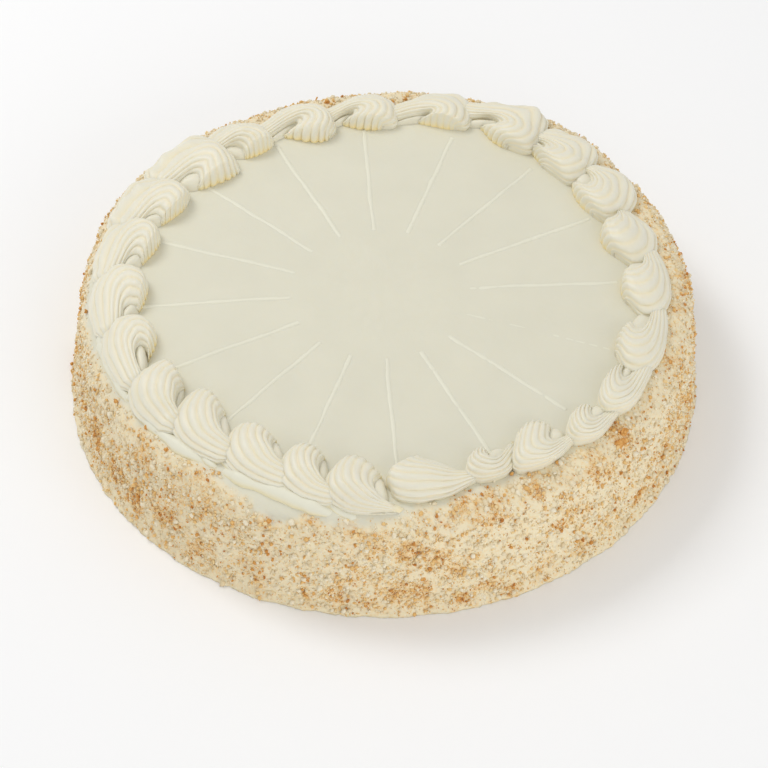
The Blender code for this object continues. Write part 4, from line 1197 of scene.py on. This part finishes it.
def strew(kind, name, material, count, small, large, proud, seed):
    """Strews one kind of crumb over the coat, and keeps the result as a plain mesh that stands on z = 0."""
    shapes = crumb_shapes(name, material, seed)
    obj = bpy.data.objects.new(name, coat_mesh.copy())
    bpy.context.scene.collection.objects.link(obj)
    modifier = obj.modifiers.new("strew", "NODES")
    modifier.node_group = strewing_tree(kind, shapes, count, small, large, proud, seed)
    depsgraph = bpy.context.evaluated_depsgraph_get()
    strewn = bpy.data.meshes.new_from_object(obj.evaluated_get(depsgraph), preserve_all_data_layers=True,
                                             depsgraph=depsgraph)
    for vert in strewn.vertices:
        vert.co.z = max(vert.co.z, 0.0)
    obj.modifiers.clear()
    obj.data = strewn
    for shape in list(shapes.objects):
        bpy.data.objects.remove(shape)
    bpy.data.collections.remove(shapes)
    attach(obj, "root")
    print(name, len(strewn.polygons), "faces")
    return obj


# %% [markdown]
# The kinds are strewn from fine to coarse. Fine crumb fills the gaps, larger crumbs lie on it, and the
# browned ones sit proudest, because they were pressed on last.

# %% Strew the crumbs
ivory = crumb_material("ivory_crumb", IVORIES)
golden = crumb_material("golden_crumb", GOLDS)
browned = crumb_material("browned_crumb", BROWNS)
strew("ivory", "fine_ivory_crumbs", ivory, 9500, 0.6 * MM, 1.4 * MM, (-0.3 * MM, 0.25 * MM), 101)
strew("ivory", "ivory_crumbs", ivory, 7500, 1.0 * MM, 3.2 * MM, (-0.7 * MM, 0.4 * MM), 211)
strew("golden", "fine_golden_crumbs", golden, 9000, 0.4 * MM, 1.1 * MM, (-0.1 * MM, 0.35 * MM), 307)
strew("golden", "golden_crumbs", golden, 6500, 0.7 * MM, 2.3 * MM, (-0.2 * MM, 0.5 * MM), 353)
strew("browned", "browned_crumbs", browned, 2600, 0.5 * MM, 2.1 * MM, (0.0, 0.7 * MM), 401)

# %% [markdown]
# A few pieces are too large to be left to chance: flakes of crust up to six millimetres long, and soft
# white lumps. Each states its angle, its height and its size in millimetres. It is an icosphere that is
# dented with noise and flattened against the side, which is taken as straight up to the shoulder and round
# above it.

# %% Press on the large crumbs
Large = namedtuple("Large", "angle height size")
SIDE_HEIGHT = 38.0
CRUMB_OUT = 0.8 * MM
CRUSTS = (
    Large(-40.2, 45.5, 5.6), Large(-37.9, 47.0, 4.4), Large(-38.8, 45.0, 3.6), Large(-60.0, 47.5, 3.0),
    Large(-55.9, 28.0, 3.2), Large(-65.4, 25.0, 2.4), Large(-75.2, 16.5, 3.0), Large(-83.0, 19.0, 3.0),
    Large(-84.0, 38.0, 2.4), Large(-76.8, 5.5, 4.4), Large(-68.0, 4.5, 2.8), Large(-45.6, 41.0, 2.8),
    Large(-31.2, 36.0, 2.6), Large(-33.8, 30.0, 2.4), Large(-17.4, 47.0, 2.8), Large(-13.6, 13.0, 3.4),
    Large(-105.4, 21.5, 3.4), Large(-104.7, 18.5, 3.4), Large(-104.0, 15.0, 3.6), Large(-99.5, 33.0, 2.8),
    Large(-113.6, 17.0, 3.0), Large(-114.6, 37.5, 2.2), Large(-111.2, 41.0, 2.8), Large(-125.6, 8.0, 3.0),
    Large(-143.4, 11.5, 4.0), Large(-155.4, 13.0, 4.0), Large(-149.4, 19.0, 3.4), Large(-139.0, 38.5, 3.2),
    Large(-136.0, 46.2, 2.4), Large(-142.8, 46.8, 2.4), Large(-152.6, 44.6, 2.6), Large(-98.2, 7.0, 3.0),
    Large(-178.0, 43.0, 2.2), Large(84.0, 49.0, 4.0), Large(102.0, 48.0, 2.6), Large(113.0, 48.0, 2.4),
    Large(141.0, 48.0, 2.4), Large(151.0, 47.0, 2.8), Large(159.0, 47.0, 2.4), Large(170.0, 46.0, 2.6),
)
LUMPS = (
    Large(-149.6, 41.5, 4.4), Large(-148.2, 38.5, 3.4), Large(-131.0, 12.5, 4.2), Large(-104.0, 23.0, 3.0),
    Large(-132.4, 42.5, 3.0), Large(-117.8, 21.0, 3.0), Large(-94.0, 13.0, 2.8), Large(-39.5, 49.0, 4.0),
    Large(-125.4, 18.5, 3.0), Large(-163.0, 41.0, 3.0), Large(-84.0, 28.0, 2.8), Large(48.0, 47.5, 3.4),
    Large(56.0, 47.5, 3.6), Large(63.0, 48.0, 3.0), Large(130.0, 47.5, 3.4), Large(147.0, 47.0, 3.0),
    Large(163.0, 46.0, 3.4), Large(-188.0, 44.0, 3.0), Large(-72.0, 34.0, 2.6), Large(-47.0, 27.0, 2.6),
)


def side_radius(height):
    """Radius in metres of the iced side at a height in millimetres."""
    if height < SIDE_HEIGHT:
        return mix(FOOT_RADIUS, TOP_EDGE_RADIUS + SHOULDER, height / SIDE_HEIGHT)
    above = height * MM - top_z(TOP_EDGE_RADIUS) + SHOULDER
    return TOP_EDGE_RADIUS + math.sqrt(max(0.0, SHOULDER ** 2 - above ** 2))


def large_crumbs(name, crumbs, material, flat):
    bm = bmesh.new()
    tone = bm.verts.layers.float.new("tone")
    draw = random.Random(len(crumbs))
    for number, crumb in enumerate(crumbs):
        around = math.radians(crumb.angle)
        turn = Matrix.Rotation(around, 4, "Z")
        skew = Matrix.Rotation(draw.uniform(-0.8, 0.8), 4, "X")
        squash = Matrix.Diagonal((flat, draw.uniform(0.75, 1.0), draw.uniform(0.65, 0.9), 1.0))
        place = outward(around) * (side_radius(crumb.height) + lean(around, crumb.height * MM) + CRUMB_OUT)
        place.z = crumb.height * MM
        heaped = heap(place)
        place += outward(around) * HEAP_OUT * heaped + Vector((0.0, 0.0, HEAP_UP * heaped))
        made = bmesh.ops.create_icosphere(bm, subdivisions=3, radius=crumb.size / 2 * MM)["verts"]
        for vert in made:
            dent = 1.0 + 0.5 * uneven(vert.co, 0.35 * crumb.size * MM, number)
            dent += 0.3 * uneven(vert.co, 0.7 * MM, number)
            vert.co *= dent
            vert[tone] = min(max(0.5 + 0.6 * uneven(vert.co, 1.2 * MM, 9.0 + number), 0.0), 1.0)
        bmesh.ops.transform(bm, matrix=Matrix.Translation(place) @ turn @ skew @ squash, verts=made)
    piece = add_piece(name, bm, material)
    print(name, len(piece.data.polygons), "faces")


large_crumbs("large_crusts", CRUSTS, browned, 0.6)
large_crumbs("soft_lumps", LUMPS, ivory, 0.7)
